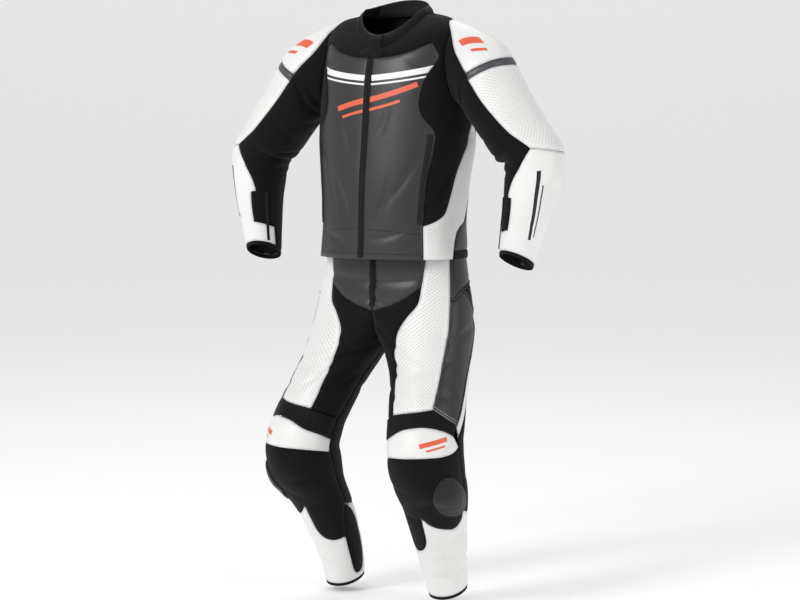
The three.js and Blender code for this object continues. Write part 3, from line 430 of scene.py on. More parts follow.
def clipped(line, start):
    """A seam's stretches inside the plane that runs round a form from start."""
    stretches = []
    for shift in (-360, 0, 360):
        moved = line + np.array([shift, 0])
        run = []
        for a, b in zip(moved[:-1], moved[1:]):
            cuts = [0.0, 1.0]
            for edge in (start, start + 360):
                if (a[0] - edge) * (b[0] - edge) < 0:
                    cuts.append((edge - a[0]) / (b[0] - a[0]))
            cuts.sort()
            for s, t in zip(cuts[:-1], cuts[1:]):
                p, r = a + (b - a) * s, a + (b - a) * t
                if start - 1e-9 <= (p[0] + r[0]) / 2 <= start + 360 + 1e-9:
                    if not run or abs(run[-1][-1] - p).max() > 1e-9:
                        run.append([p])
                    run[-1].append(r)
        stretches += [np.array(points) for points in run]
    return stretches


class Pattern:
    """A form's net of triangles, split into faces by its seams."""

    def __init__(self, form, seams):
        self.form = form
        start, across = form.start, form.across
        points, links = [], []

        for line in seams:
            for stretch in clipped(line, start):
                first = len(points)
                points.extend(((q - start) * across, v) for q, v in stretch)
                links.extend((first + i, first + i + 1) for i in range(len(stretch) - 1))
        seam_points = np.array(points)
        width = 360 * across
        columns = round(width / NET)
        levels = np.linspace(form.low, form.high, max(3, round((form.high - form.low) / NET) + 1))
        tree = kdtree.KDTree(len(seam_points))
        for i, (x, y) in enumerate(seam_points):
            tree.insert((x, y, 0), i)
        tree.balance()
        for row, v in enumerate(levels):
            edge_row = row in (0, len(levels) - 1)
            offset = 0.5 if row % 2 and not edge_row else 0.0
            xs = [(k + offset) * width / columns for k in range(columns + 1)]
            xs = [x for x in xs if x <= width + 1e-6]
            if offset:
                xs = [0.0, *xs, width]
            for x in xs:
                gap = tree.find((x, v, 0))[2]
                on_border = x < 1e-6 or x > width - 1e-6
                if gap > (CLEAR_OF_EDGE if edge_row or on_border else NET * CLEAR_OF_SEAM):
                    points.append((x, v))
        made = delaunay_2d_cdt([Vector(p) for p in points], links, [], 0, 1e-4)
        xy = np.array([tuple(v) for v in made[0]])
        barrier = {tuple(sorted(e)) for e, source in zip(made[1], made[4]) if source}
        keep = np.arange(len(xy))
        left = np.where(xy[:, 0] < 1e-3)[0]
        for i in np.where(xy[:, 0] > width - 1e-3)[0]:
            keep[i] = left[np.argmin(abs(xy[left, 1] - xy[i, 1]))]
        self.places = np.stack([xy[:, 0] / across + start, xy[:, 1]], axis=1)
        a, b, c = (xy[[f[k] for f in made[2]]] for k in range(3))
        turn = np.cross(b - a, c - a)
        triangles = [(f if turn[i] > 0 else f[::-1]) for i, f in enumerate(made[2]) if abs(turn[i]) > 1e-6]
        self.centres = np.array([xy[list(f)].mean(axis=0) for f in triangles])
        barrier = {tuple(sorted((keep[m], keep[n]))) for m, n in barrier}
        self.triangles = [tuple(int(keep[i]) for i in f) for f in triangles]
        parent = list(range(len(self.triangles)))

        def root(i):
            while parent[i] != i:
                parent[i] = parent[parent[i]]
                i = parent[i]
            return i

        seen = {}
        for t, f in enumerate(self.triangles):
            for k in range(3):
                side = tuple(sorted((f[k], f[(k + 1) % 3])))
                if side in barrier:
                    continue
                if side in seen:
                    parent[root(t)] = root(seen[side])
                seen[side] = t
        self.groups = np.array([root(i) for i in range(len(self.triangles))])

    def face(self, place):
        x = ((place[0] - self.form.start) % 360) * self.form.across
        nearest = np.argmin(np.hypot(self.centres[:, 0] - x, self.centres[:, 1] - place[1]))
        return [t for t, g in zip(self.triangles, self.groups) if g == self.groups[nearest]]


def make_object(name, points, faces, attributes=()):
    mesh = bpy.data.meshes.new(name)
    mesh.from_pydata((np.asarray(points) * MM).tolist(), [], faces)
    mesh.update()
    for label, values in attributes:
        kind = "FLOAT_VECTOR" if values.ndim == 2 else "FLOAT"
        layer = mesh.attributes.new(label, kind, "POINT")
        layer.data.foreach_set("vector" if values.ndim == 2 else "value", values.astype(float).ravel())
    mesh.polygons.foreach_set("use_smooth", [True] * len(mesh.polygons))
    shown = bpy.data.objects.new(name, mesh)
    bpy.context.scene.collection.objects.link(shown)
    return shown


def on_side(side, points, faces):
    """A left piece's mesh as it is, for side 1, or mirrored to the right, for side -1."""
    return points * np.array([side, 1, 1]), faces if side > 0 else [f[::-1] for f in faces]


def on_both(flat, edge):
    """A shell's attributes, the same on its outside and its inside."""
    return [("cloth", np.vstack([flat, flat])), ("edge", np.vstack([edge, edge]))]


def rim_loops(triangles):
    sides = {(f[k], f[(k + 1) % 3]) for f in triangles for k in range(3)}
    return [(a, b) for a, b in sides if (b, a) not in sides]


def cut_size(form, q, v, anchor, area):
    """The width and length, in metres, of the straight-sided piece that a panel is cut from."""
    turned = ((q - anchor[0] + 180) % 360) - 180
    round_it = np.linalg.norm(form.point(q + 0.5, v) - form.point(q - 0.5, v), axis=1).mean()
    along = np.linalg.norm(form.point(q, v + 0.5) - form.point(q, v - 0.5), axis=1).mean()
    width, length = sorted([np.ptp(turned) * round_it * MM, np.ptp(v) * along * MM])
    width = max(width, area / length, NARROWEST)
    if area < LEAST_FILLED * width * length:
        width = area / (LEAST_FILLED * length)
    return float(width), float(length)


threads = {"pale_thread": [], "dark_thread": []}


def sew(thread, base, out, after, run, along, tree, sense, side):
    """Notes each stitch of the row that runs just inside a panel's seams: place, way and outside."""
    for here, ahead in after.items():
        if here not in along:
            continue
        first = math.ceil(run[here] / STITCH_PITCH)
        step = np.linalg.norm(base[ahead] - base[here])
        while first * STITCH_PITCH < run[here] + step:
            t = (first * STITCH_PITCH - run[here]) / step
            first += 1
            normal = out[here] * (1 - t) + out[ahead] * t
            inward = np.cross(normal, along[here]) * sense
            spot = base[here] * (1 - t) + base[ahead] * t + inward * STITCH_IN
            if tree.find(spot)[2] > STITCH_IN * STITCH_CLEAR:
                turn = np.array([side, 1, 1])
                spot = spot + normal * STITCH_RISE
                threads[thread].append((spot * turn, along[here] * turn, normal * turn))


def neck_distance(form, v):
    """How far along the cloth the seam between body and collar is, where the edges don't roll."""
    if form is trunk:
        return JACKET_LENGTH - v
    if form is collar:
        return v
    return np.full(len(v), np.inf)


def cloth(name, pattern, anchor, padding=PADDING, side=1, thread=None):
    """A panel of cloth as a thin closed shell, its edges rolled down into the seams.

    Its attributes are "cloth", the place on the flat cloth in millimetres, and "edge", the
    distance to the nearest seam with the distance run along that seam."""
    form = pattern.form
    triangles = pattern.face(anchor)
    used = sorted({i for f in triangles for i in f})
    renamed = {old: new for new, old in enumerate(used)}
    triangles = [tuple(renamed[i] for i in f) for f in triangles]
    q, v = pattern.places[used].T
    base, out = form.point(q, v), form.out(q, v)
    if form is leg:
        base[:, 0] = np.maximum(base[:, 0], MIDDLE_GAP)
    rim = rim_loops(triangles)
    after = dict(rim)
    run, along, distance = {}, {}, 0.0
    for first in list(after):
        here = first
        while here not in run and here in after:
            step = base[after[here]] - base[here]
            run[here] = distance
            along[here] = step / max(np.linalg.norm(step), 1e-6)
            distance += np.linalg.norm(step)
            here = after[here]
    tree = kdtree.KDTree(len(run))
    for i in run:
        tree.insert(base[i], i)
    tree.balance()
    edge = np.zeros((len(base), 3))
    for i, p in enumerate(base):
        _, near, gap = tree.find(p)
        shift = p - base[near]
        ahead = float(shift @ along[near])
        aside = math.sqrt(max(gap * gap - ahead * ahead, 0)) if gap < PADDING_REACH else gap
        edge[i] = (aside, run[near] + ahead, 0)
    d = edge[:, 0]
    dip = SEAM_DIP * smooth(neck_distance(form, v) / NECK_FLAT)
    lift = padding * (1 - np.exp(-d / PADDING_REACH)) - dip * np.exp(-((d / SEAM_ROLL) ** 2))
    if thread:
        sew(thread, base, out, after, run, along, tree, form.sense, side)
    outer = base + out * lift[:, None]
    if form is leg:
        by_middle = base[:, 0] < 4 * MIDDLE_GAP
        outer[:, 0] = np.where(by_middle, base[:, 0], np.maximum(outer[:, 0], MIDDLE_GAP))
    inner = outer - out * WALL
    n = len(outer)
    faces = list(triangles)
    faces += [(a + n, c + n, b + n) for a, b, c in triangles]
    faces += [(a, a + n, b + n, b) for a, b in rim]
    points = np.vstack([outer, inner])
    if form.sense < 0:
        faces = [f[::-1] for f in faces]
    points, faces = on_side(side, points, faces)
    flat = np.stack([q * form.across, v, np.zeros(n)], axis=1)
    shown = make_object(name, points, faces, [*on_both(flat, edge), ("inside", np.repeat([0, 1], n))])
    a, b, c = (base[[f[k] for f in triangles]] for k in range(3))
    area = np.linalg.norm(np.cross(b - a, c - a), axis=1).sum() / 2 * MM * MM
    cut_size(form, q, v, anchor, area)
    return shown


def plate(name, rows, lift, thickness, side=1):
    """A strip lying on the cloth, with rounded edges, from rows of places on it."""
    rows = np.array(rows)
    m, n = rows.shape[:2]
    across = np.gradient(rows, axis=1)
    along = np.gradient(rows, axis=0)
    out = unit(np.cross(across, along))
    high = np.full((m, n), float(thickness)) if np.isscalar(thickness) else thickness
    high = high.copy()
    high[:, [0, -1]] *= EDGE_HEIGHT
    high[[0, -1], :] *= END_HEIGHT
    over = (rows + out * (lift + high)[..., None]).reshape(-1, 3)
    under = (rows + out * lift).reshape(-1, 3)
    shift = m * n
    faces = []
    for i in range(m - 1):
        for k in range(n - 1):
            a = i * n + k
            faces.append((a, a + 1, a + n + 1, a + n))
            faces.append((a + shift, a + n + shift, a + n + 1 + shift, a + 1 + shift))
    ring = [*range(n), *(i * n + n - 1 for i in range(1, m)),
            *((m - 1) * n + k for k in range(n - 2, -1, -1)), *(i * n for i in range(m - 2, 0, -1))]
    faces += [(a, a + shift, b + shift, b) for a, b in zip(ring, ring[1:] + ring[:1])]
    points = np.vstack([over, under])
    points, faces = on_side(side, points, faces)
    lengths = np.cumsum(np.linalg.norm(np.diff(rows[:, n // 2], axis=0), axis=1))
    widths = np.cumsum(np.linalg.norm(np.diff(rows[m // 2], axis=0), axis=1))
    flat = np.zeros((m, n, 3))
    flat[..., 0] = np.concatenate([[0], widths])[None, :]
    flat[..., 1] = np.concatenate([[0], lengths])[:, None]
    flat = flat.reshape(-1, 3)
    edge = np.zeros_like(flat)
    edge[:, 0] = np.minimum(flat[:, 0], widths[-1] - flat[:, 0])
    edge[:, 1] = flat[:, 1]
    shown = make_object(name, points, faces, on_both(flat, edge))
    return shown, widths[-1] * MM, lengths[-1] * MM


def grains(spots, size):
    """Small pointed grains, each as a place, the way that it lies and its outside."""
    spots = np.array(spots)
    middle, way, out = spots[:, 0], unit(spots[:, 1]), unit(spots[:, 2])
    aside = np.cross(way, out)
    corners = [sense * axis * reach for axis, reach in zip((way, aside, out), size) for sense in (1, -1)]
    points = (middle[:, None] + np.stack(corners, axis=1)).reshape(-1, 3)
    shape = [(0, 2, 4), (2, 1, 4), (1, 3, 4), (3, 0, 4), (2, 0, 5), (1, 2, 5), (3, 1, 5), (0, 3, 5)]
    faces = [(a + 6 * i, b + 6 * i, c + 6 * i) for i in range(len(middle)) for a, b, c in shape]
    return points, faces


teeth = []


def zip_teeth(rows, rise=TOOTH_RISE, side=1):
    """Notes the teeth along the middle of a zip's tape: two rows that mesh."""
    rows = np.array(rows)
    middle = rows[:, rows.shape[1] // 2]
    across = unit(rows[:, -1] - rows[:, 0])
    out = np.cross(across, unit(np.gradient(middle, axis=0)))
    run = np.concatenate([[0], np.cumsum(np.linalg.norm(np.diff(middle, axis=0), axis=1))])
    turn = np.array([side, 1, 1])
    for i, d in enumerate(np.arange(TEETH_END, run[-1] - TEETH_END, TOOTH_PITCH / 2)):
        spot, aside, up = (np.array([np.interp(d, run, values[:, c]) for c in range(3)])
                           for values in (middle, across, out))
        spot = spot + aside * (TOOTH_ASIDE if i % 2 else -TOOTH_ASIDE) + up * rise
        teeth.append((spot * turn, aside * turn, up * turn))


def strip(form, levels, angles):
    return [form.point(np.array(angles(v), float), np.full(len(angles(v)), float(v))) for v in levels]


def tube_faces(rings, sides):
    faces = []
    for i in range(rings - 1):
        for k in range(sides):
            a, b = i * sides + k, i * sides + (k + 1) % sides
            faces.append((a, b, b + sides, a + sides))
    end = (rings - 1) * sides
    return [*faces, tuple(range(sides))[::-1], tuple(range(end, end + sides))]


def cord(places, radius, sides=6):
    """A round cord through places, as points and faces."""
    places = np.array(places)
    run = unit(np.gradient(places, axis=0))
    up = np.where(abs(run[:, 2:3]) > 0.9, np.array([[1.0, 0, 0]]), np.array([[0, 0, 1.0]]))
    u = unit(np.cross(run, up))
    w = np.cross(run, u)
    turn = np.arange(sides) / sides * 2 * math.pi
    ring = np.cos(turn)[None, :, None] * u[:, None] + np.sin(turn)[None, :, None] * w[:, None]
    return (places[:, None] + ring * radius).reshape(-1, 3), tube_faces(len(places), sides)


# Materials
class Nodes:
    """Short ways to add and join a material's nodes."""

    def __init__(self, name):
        self.material = bpy.data.materials.new(name)
        self.material.use_nodes = True
        self.tree = self.material.node_tree
        self.shader = next(n for n in self.tree.nodes if n.type == "BSDF_PRINCIPLED")

    def fill(self, node, inputs):
        for key, value in dict(inputs).items():
            if isinstance(value, bpy.types.NodeSocket):
                self.tree.links.new(value, node.inputs[key])
            else:
                node.inputs[key].default_value = value

    def add(self, kind, inputs=(), **settings):
        node = self.tree.nodes.new(kind)
        for key, value in settings.items():
            setattr(node, key, value)
        self.fill(node, inputs)
        return node

    def spread(self, tone, low, high):
        return self.add("ShaderNodeMapRange", {"Value": tone, "To Min": low, "To Max": high}).outputs[0]

    def finished(self, inputs):
        """The material, once its shader has these inputs."""
        self.fill(self.shader, inputs)
        return self.material

    def math(self, operation, a, b=0.0, clamp=False):
        return self.add("ShaderNodeMath", {0: a, 1: b}, operation=operation, use_clamp=clamp).outputs[0]

    def split(self, attribute):
        source = self.add("ShaderNodeAttribute", attribute_name=attribute)
        parts = self.add("ShaderNodeSeparateXYZ", {0: source.outputs["Vector"]})
        return source.outputs["Vector"], parts.outputs["X"], parts.outputs["Y"]

    def mix(self, factor, a, b):
        node = self.add("ShaderNodeMix", data_type="RGBA")
        for index, value in ((0, factor), (6, a), (7, b)):
            if isinstance(value, bpy.types.NodeSocket):
                self.tree.links.new(value, node.inputs[index])
            else:
                node.inputs[index].default_value = (*value, 1) if index else value
        return node.outputs[2]

    def within(self, value, centre, half):
        """1 where value is within half of centre, with a soft edge a fifth of a millimetre wide."""
        away = self.math("ABSOLUTE", self.math("SUBTRACT", value, centre))
        return self.math("MULTIPLY", self.math("SUBTRACT", half, away), 5.0, clamp=True)

    def bump(self, height, strength, distance, normal=None):
        inputs = {"Height": height, "Strength": strength, "Distance": distance}
        if normal is not None:
            inputs["Normal"] = normal
        return self.add("ShaderNodeBump", inputs).outputs["Normal"]


def painted_seam_shade(n, color):
    """Paints shade into the cloth along its seams, where the groove between panels lies."""
    _, gap, _ = n.split("edge")
    return n.mix(n.math("MULTIPLY", n.within(gap, 0.0, 0.7), 0.75), color, (0.004, 0.004, 0.004))


def leather(name, color, roughness=0.42, perforated=None, marks=(), joins=(), shine=0.5):
    """Smooth coated leather with a fine grain, sewing, painted shade along its seams and, where given,
    perforation.

    marks are plain bars: (colour, middle across, middle along, turn, half length, half width).
    joins are sewn lines across the panel, each a groove with painted shade in it: (height at the
    middle, its fall for each mm outwards, from, to) in mm along and from the middle."""
    n = Nodes(name)
    place, u, v = n.split("cloth")
    position = n.add("ShaderNodeNewGeometry").outputs["Position"]
    tone = n.add("ShaderNodeTexNoise", {"Vector": position, "Scale": 9.0, "Detail": 4.0})
    base = n.mix(tone.outputs["Fac"], tuple(c * 0.9 for c in color), tuple(min(1, c * 1.06) for c in color))
    for mark, across, along, turn, half_length, half_width in marks:
        c, s = math.cos(math.radians(turn)), math.sin(math.radians(turn))
        du, dv = n.math("SUBTRACT", u, across), n.math("SUBTRACT", v, along)
        lengthwise = n.math("ADD", n.math("MULTIPLY", du, c), n.math("MULTIPLY", dv, s))
        crosswise = n.math("SUBTRACT", n.math("MULTIPLY", dv, c), n.math("MULTIPLY", du, s))
        mask = n.math("MULTIPLY", n.within(lengthwise, 0.0, half_length),
                      n.within(crosswise, 0.0, half_width))
        base = n.mix(mask, base, mark)
    # painted shade: the cloth darkened to near black within 0.7 mm of each seam
    base = painted_seam_shade(n, base)
    grooves = None
    for height, fall, first, last in joins:
        away = n.math("ABSOLUTE", u)
        level = n.math("ADD", v, n.math("MULTIPLY", away, fall))
        reach = n.within(away, (first + last) / 2, (last - first) / 2)
        groove = n.math("MULTIPLY", n.within(level, height, 0.8), reach)
        # painted shade: the groove of each sewn join darkened to near black
        base = n.mix(n.math("MULTIPLY", groove, 0.8), base, (0.004, 0.004, 0.004))
        grooves = groove if grooves is None else n.math("ADD", grooves, groove)
    grain = n.add("ShaderNodeTexVoronoi", {"Vector": position, "Scale": 900.0}).outputs["Distance"]
    crease = n.add("ShaderNodeTexNoise", {"Vector": position, "Scale": 55.0, "Detail": 5.0, "Roughness": 0.6})
    normal = n.bump(crease.outputs["Fac"], 0.18, 0.002)
    normal = n.bump(grain, 0.25, 0.0003, normal)
    if grooves is not None:
        normal = n.bump(n.math("SUBTRACT", 1.0, grooves), 0.9, 0.0015, normal)
    if perforated:
        turned = n.add("ShaderNodeMapping", {"Vector": place, "Scale": (1 / PERFORATION_PITCH,) * 3,
                                             "Rotation": (0, 0, math.pi / 4)})
        dots = n.add("ShaderNodeTexVoronoi", {"Vector": turned.outputs[0], "Scale": 1.0, "Randomness": 0.0},
                     voronoi_dimensions="2D").outputs["Distance"]
        hole = n.math("MULTIPLY", n.math("SUBTRACT", 0.17, dots), 16.0, clamp=True)
        _, gap, _ = n.split("edge")
        clear = n.math("MULTIPLY", n.math("SUBTRACT", gap, 9.0), 0.5, clamp=True)
        hole = n.math("MULTIPLY", hole, clear)
        base = n.mix(hole, base, perforated)
        normal = n.bump(n.math("SUBTRACT", 1.0, hole), 0.8, 0.0008, normal)
    inside = n.add("ShaderNodeAttribute", attribute_name="inside").outputs["Fac"]
    base = n.mix(n.math("GREATER_THAN", inside, 0.5), base, LINED)
    rough = n.spread(tone.outputs["Fac"], roughness - 0.06, roughness + 0.1)
    return n.finished({"Base Color": base, "Normal": normal, "Roughness": rough, "Specular IOR Level": shine})


def knit(name, color, pitch, roughness=0.85, depth=0.0006):
    """Stretch cloth with a fine rib across it, painted shade along its seams, and a soft sheen."""
    n = Nodes(name)
    _, u, v = n.split("cloth")
    position = n.add("ShaderNodeNewGeometry").outputs["Position"]
    rib = n.math("SINE", n.math("MULTIPLY", v, 2 * math.pi / pitch))
    wale = n.math("SINE", n.math("MULTIPLY", u, 2 * math.pi / (pitch * 0.8)))
    weave = n.math("MULTIPLY", n.math("ADD", rib, wale), 0.5)
    tone = n.add("ShaderNodeTexNoise", {"Vector": position, "Scale": 14.0, "Detail": 5.0}).outputs["Fac"]
    base = n.mix(tone, tuple(c * 0.75 for c in color), tuple(c * 1.35 for c in color))
    # painted shade: the cloth darkened to near black within 0.7 mm of each seam
    base = painted_seam_shade(n, base)
    fuzz = n.add("ShaderNodeTexNoise", {"Vector": position, "Scale": 60.0, "Detail": 4.0}).outputs["Fac"]
    normal = n.bump(fuzz, 0.2, 0.002)
    normal = n.bump(weave, 0.5, depth, normal)
    return n.finished({"Base Color": base, "Normal": normal, "Roughness": roughness,
                       "Specular IOR Level": 0.16, "Sheen Weight": 0.05, "Sheen Roughness": 0.5})


def hard(name, color, roughness, metallic=0.0, scale=160.0, shine=0.5):
    """Rubber, plastic or metal with small wear in its tone and surface."""
    n = Nodes(name)
    position = n.add("ShaderNodeNewGeometry").outputs["Position"]
    tone = n.add("ShaderNodeTexNoise", {"Vector": position, "Scale": scale, "Detail": 6.0}).outputs["Fac"]
    base = n.mix(tone, tuple(c * 0.8 for c in color), tuple(min(1, c * 1.2) for c in color))
    rough = n.spread(tone, roughness - 0.05, roughness + 0.1)
    return n.finished({"Base Color": base, "Normal": n.bump(tone, 0.15, 0.0006), "Roughness": rough,
                       "Metallic": metallic, "Specular IOR Level": shine})


def zip_look(name, edge_color, tape_color):
    """Zip tape with its row of teeth along the middle."""
    n = Nodes(name)
    _, u, v = n.split("cloth")
    _, gap, _ = n.split("edge")
    weave = n.math("SINE", n.math("MULTIPLY", n.math("ADD", u, v), 4.0))
    coil = n.math("SINE", n.math("MULTIPLY", v, 2 * math.pi / 2.4))
    row = n.math("MULTIPLY", n.math("SUBTRACT", gap, 2.2), 3.0, clamp=True)
    height = n.math("ADD", n.math("MULTIPLY", weave, 0.1), n.math("MULTIPLY", coil, row))
    base = n.mix(row, edge_color, tape_color)
    return n.finished({"Base Color": base, "Normal": n.bump(height, 0.8, 0.0006), "Roughness": 0.7,
                       "Specular IOR Level": 0.3})


LINED = (0.008, 0.008, 0.0085)
WHITE = (0.84, 0.84, 0.825)
ANTHRACITE = (0.024, 0.024, 0.026)
BLACK = (0.0035, 0.0035, 0.004)
CORAL = (0.78, 0.12, 0.06)
PALE_THREAD = (0.45, 0.45, 0.44)
DARK_THREAD = (0.06, 0.06, 0.062)
PINHOLE = (0.3, 0.3, 0.29)
DARK_PINHOLE = (0.006, 0.006, 0.006)

sleeve_mm = sleeve.across
leg_mm = leg.across

# Plain bars: colour, middle across and along, turn, half length and half width
CORAL_BARS = [(CORAL, 22, 392, 19, 92, 6.5), (CORAL, 8, 362, 19, 62, 3.5)]
CHEST_BARS = [(WHITE, 92, 452, 7, 88, 8), (WHITE, 84, 434, 7, 80, 2.5), *CORAL_BARS]
CHEST_BARS_RIGHT = [(WHITE, -92, 452, -7, 88, 8), (WHITE, -84, 434, -7, 80, 2.5), *CORAL_BARS]
FOREARM_BARS = [(BLACK, 46 * sleeve_mm, 420, 84, 78, 5), (BLACK, 58 * sleeve_mm, 428, 84, 60, 2)]
CAP_BARS = [(CORAL, 50 * sleeve_mm, 52, 28, 18, 5), (CORAL, 47 * sleeve_mm, 66, 28, 13, 2.2)]
KNEE_BARS = [(CORAL, 46 * leg_mm, -941, 14, 32, 5.5), (CORAL, 50 * leg_mm, -954, 14, 22, 2.5)]

# The jacket's hem band: sewn across above its tab, and along just above the edge, each line a groove with
# painted shade in it
HEM_JOINS = [(74, 0.09, 6, 150), (14, 0, 6, 150)]

looks = {
    "anthracite": leather("leather_anthracite", ANTHRACITE, 0.38),
    "chest": leather("leather_chest", ANTHRACITE, 0.38, marks=CHEST_BARS, joins=HEM_JOINS),
    "chest_right": leather("leather_chest_plain", ANTHRACITE, 0.38, marks=CHEST_BARS_RIGHT,
                           joins=HEM_JOINS),
    "white": leather("leather_white", WHITE, 0.4),
    "white_perforated": leather("leather_white_perforated", WHITE, 0.42, PINHOLE),
    "forearm": leather("leather_forearm", WHITE, 0.4, marks=FOREARM_BARS),
    "cap": leather("leather_cap", WHITE, 0.4, marks=CAP_BARS),
    "knee": leather("leather_knee", WHITE, 0.4, marks=KNEE_BARS),
    "thigh": leather("leather_thigh", ANTHRACITE, 0.4, DARK_PINHOLE),
    "black_leather": leather("leather_black", BLACK, 0.55, shine=0.25),
    "stretch": knit("stretch_black", BLACK, 2.4),
    "binding": knit("binding_black", BLACK, 3.0, 0.8, 0.0008),
    "lining": knit("lining_mesh", (0.02, 0.02, 0.021), 3.2, 0.9, 0.001),
    "band": hard("reflective_band", (0.085, 0.088, 0.1), 0.42, 0.35, 700.0),
    "zip": zip_look("zip_black", (0.003, 0.003, 0.003), (0.006, 0.006, 0.0065)),
    "welt": zip_look("zip_welt", (0.006, 0.006, 0.006), (0.02, 0.02, 0.021)),
    "slider": hard("slider_rubber", (0.008, 0.008, 0.0085), 0.36, shine=0.32),
    "pale_thread": hard("thread_pale", PALE_THREAD, 0.7),
    "dark_thread": hard("thread_dark", DARK_THREAD, 0.7),
    "teeth": hard("zip_teeth", (0.006, 0.006, 0.0065), 0.42),
    "silver": hard("piping_silver", (0.36, 0.36, 0.37), 0.45, 0.3),
}

# The thread that each sewn look is stitched with
SEWN = {look: "dark_thread" for look in ("anthracite", "chest", "chest_right", "thigh", "band")}
SEWN |= {look: "pale_thread" for look in ("white", "white_perforated", "forearm", "cap", "knee")}


def trim(shown, look):
    shown.data.materials.append(looks[look])
    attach(shown, "root")


def place(shown, node, look):
    trim(shown, look)
    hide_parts(node)


def panel(node, pattern, anchor, look, padding=PADDING, side=1):
    shown = cloth(f"{node}_look", pattern, anchor, padding, side, SEWN.get(look))
    place(shown, node, look)


def place_strip(made, node, look):
    shown, width, length = made
    place(shown, node, look)


BOTH = (("left", 1), ("right", -1))

# Jacket body
zip_line = np.array([(0, v) for v in np.arange(0, JACKET_LENGTH + 1, 5)], float)
neck_split = [curve(trunk, [(sign * 90, 566), (sign * 90, JACKET_LENGTH)]) for sign in (1, -1)]
jacket = Pattern(trunk, [
    zip_line,
    *(curve(trunk, at) for seam in (CHEST_EDGE, SIDE_FRONT, SIDE_BACK) for at in (seam, mirrored(seam))),
    *neck_split, armhole_seam(1), armhole_seam(-1), curve(trunk, BACK_YOKE), curve(trunk, BACK_HEM),
])
for label, sign in BOTH:
    panel(f"front_{label}", jacket, (25 * sign, 250), "chest" if sign > 0 else "chest_right")
    panel(f"yoke_{label}", jacket, (66 * sign, 590), "stretch", 0.6)
    panel(f"side_{label}", jacket, (100 * sign, 200), "white_perforated")
panel("back_yoke", jacket, (180, 560), "stretch", 0.6)
panel("back", jacket, (180, 260), "anthracite")
panel("back_hem", jacket, (180, 10), "binding", 0.6)

# Collar
neck = Pattern(collar, [curve(collar, [(-180, 27), (0, 27), (180, 27)], straight=True)])
panel("collar", neck, (90, 12), "binding", 0.4)
panel("collar_rim", neck, (90, 32), "black_leather", 0.6)
neck_angles = np.arange(-180, 181, 4)
neck_low = np.zeros(len(neck_angles))
neck_seam = collar.point(neck_angles, neck_low) - collar.out(neck_angles, neck_low) * NECK_TAPE
trim(make_object("piping_neck", *cord(neck_seam, NECK_TAPE)), "binding")
lined = [(trunk, 588), (trunk, 597), (trunk, 606), (trunk, 615), (collar, 3), (collar, 10), (collar, 18),
         (collar, 26), (collar, 33)]
lining_angles = np.arange(122, 239, 4)
lining_rows = [form.point(lining_angles, np.full(len(lining_angles), float(v))) for form, v in lined]
place_strip(plate("collar_lining_look", lining_rows, LINING_LIFT, LINING_WALL), "collar_lining", "lining")
FLAP = [(trunk, 506, 3), (trunk, 508, 5), (trunk, 512, 6.6), (trunk, 517, 7.7), (trunk, 522, 8.5),
        (trunk, 532, 9.1), (trunk, 540, 9.4), (trunk, 550, 9.5), (trunk, 560, 9.6), (trunk, 572, 9.7),
        (trunk, 585, 9.8), (trunk, 598, 9.9), (trunk, 612, 10), (collar, 1, 10), (collar, 8, 10),
        (collar, 20, 10.4), (collar, 32, 10.4)]
flap_rows = [form.point(np.linspace(-half, half, 13) + 1, np.full(13, float(v))) for form, v, half in FLAP]
place_strip(plate("collar_flap_look", flap_rows, TAPE_LIFT, FLAP_WALL), "collar_flap", "binding")

# Sleeves
arm = Pattern(sleeve, [curve(sleeve, at) for at in SLEEVE_SEAMS])
SLEEVE_PIECES = [
    ("sleeve_cap", (90, 40), 1.6, "cap"), ("sleeve_band", (84, 104), 0.8, "band"),
    ("sleeve_outer", (90, 200), 1.6, "white_perforated"), ("forearm", (90, 420), PADDING, "forearm"),
    ("sleeve_inner", (-80, 200), 0.5, "stretch"), ("cuff", (90, SLEEVE_LENGTH - 4), 0.4, "binding"),
]
for label, sign in BOTH:
    for name, anchor, padding, look in SLEEVE_PIECES:
        panel(f"{name}_{label}", arm, anchor, look, padding, sign)
    tape = strip(sleeve, np.linspace(*CUFF_ZIP_AT, 34), lambda v: np.linspace(*CUFF_ZIP_Q, 7))
    place_strip(plate(f"cuff_zip_{label}_look", tape, TAPE_LIFT, TAPE_WALL, sign),
                f"cuff_zip_{label}", "zip")
    zip_teeth(tape, side=sign)

# Trouser legs
LEG_PIECES = [
    ("fly", (15, -540), PADDING, "anthracite"), ("thigh_front", (55, -700), PADDING, "white_perforated"),
    ("hip", (110, -540), PADDING, "anthracite"), ("thigh_outer", (80, -720), PADDING, "thigh"),
    ("thigh_flash", (118, -800), PADDING, "white_perforated"), ("inner_thigh", (-50, -800), 0.5, "stretch"),
    ("seat", (180, -800), 0.5, "stretch"), ("knee", (20, -945), 2.0, "knee"),
    ("shin", (30, -1050), 0.8, "stretch"), ("calf", (40, -1240), 1.0, "white"),
    ("calf_gusset", (-84, -1240), 0.5, "stretch"), ("hem", (90, TROUSER_HEM + 3), 0.3, "binding"),
]
trousers = Pattern(leg, [*(curve(leg, at) for at in LEG_SEAMS), centre_seam()])
RIB_COUNT = 8
RIB_RISE = 2.6
RIB_ROWS = 10               # of places in each rib
RIB_PLACES = 90             # along a rib
RIB_CLOTH = 1.25            # length of the band's cloth for each mm that it covers


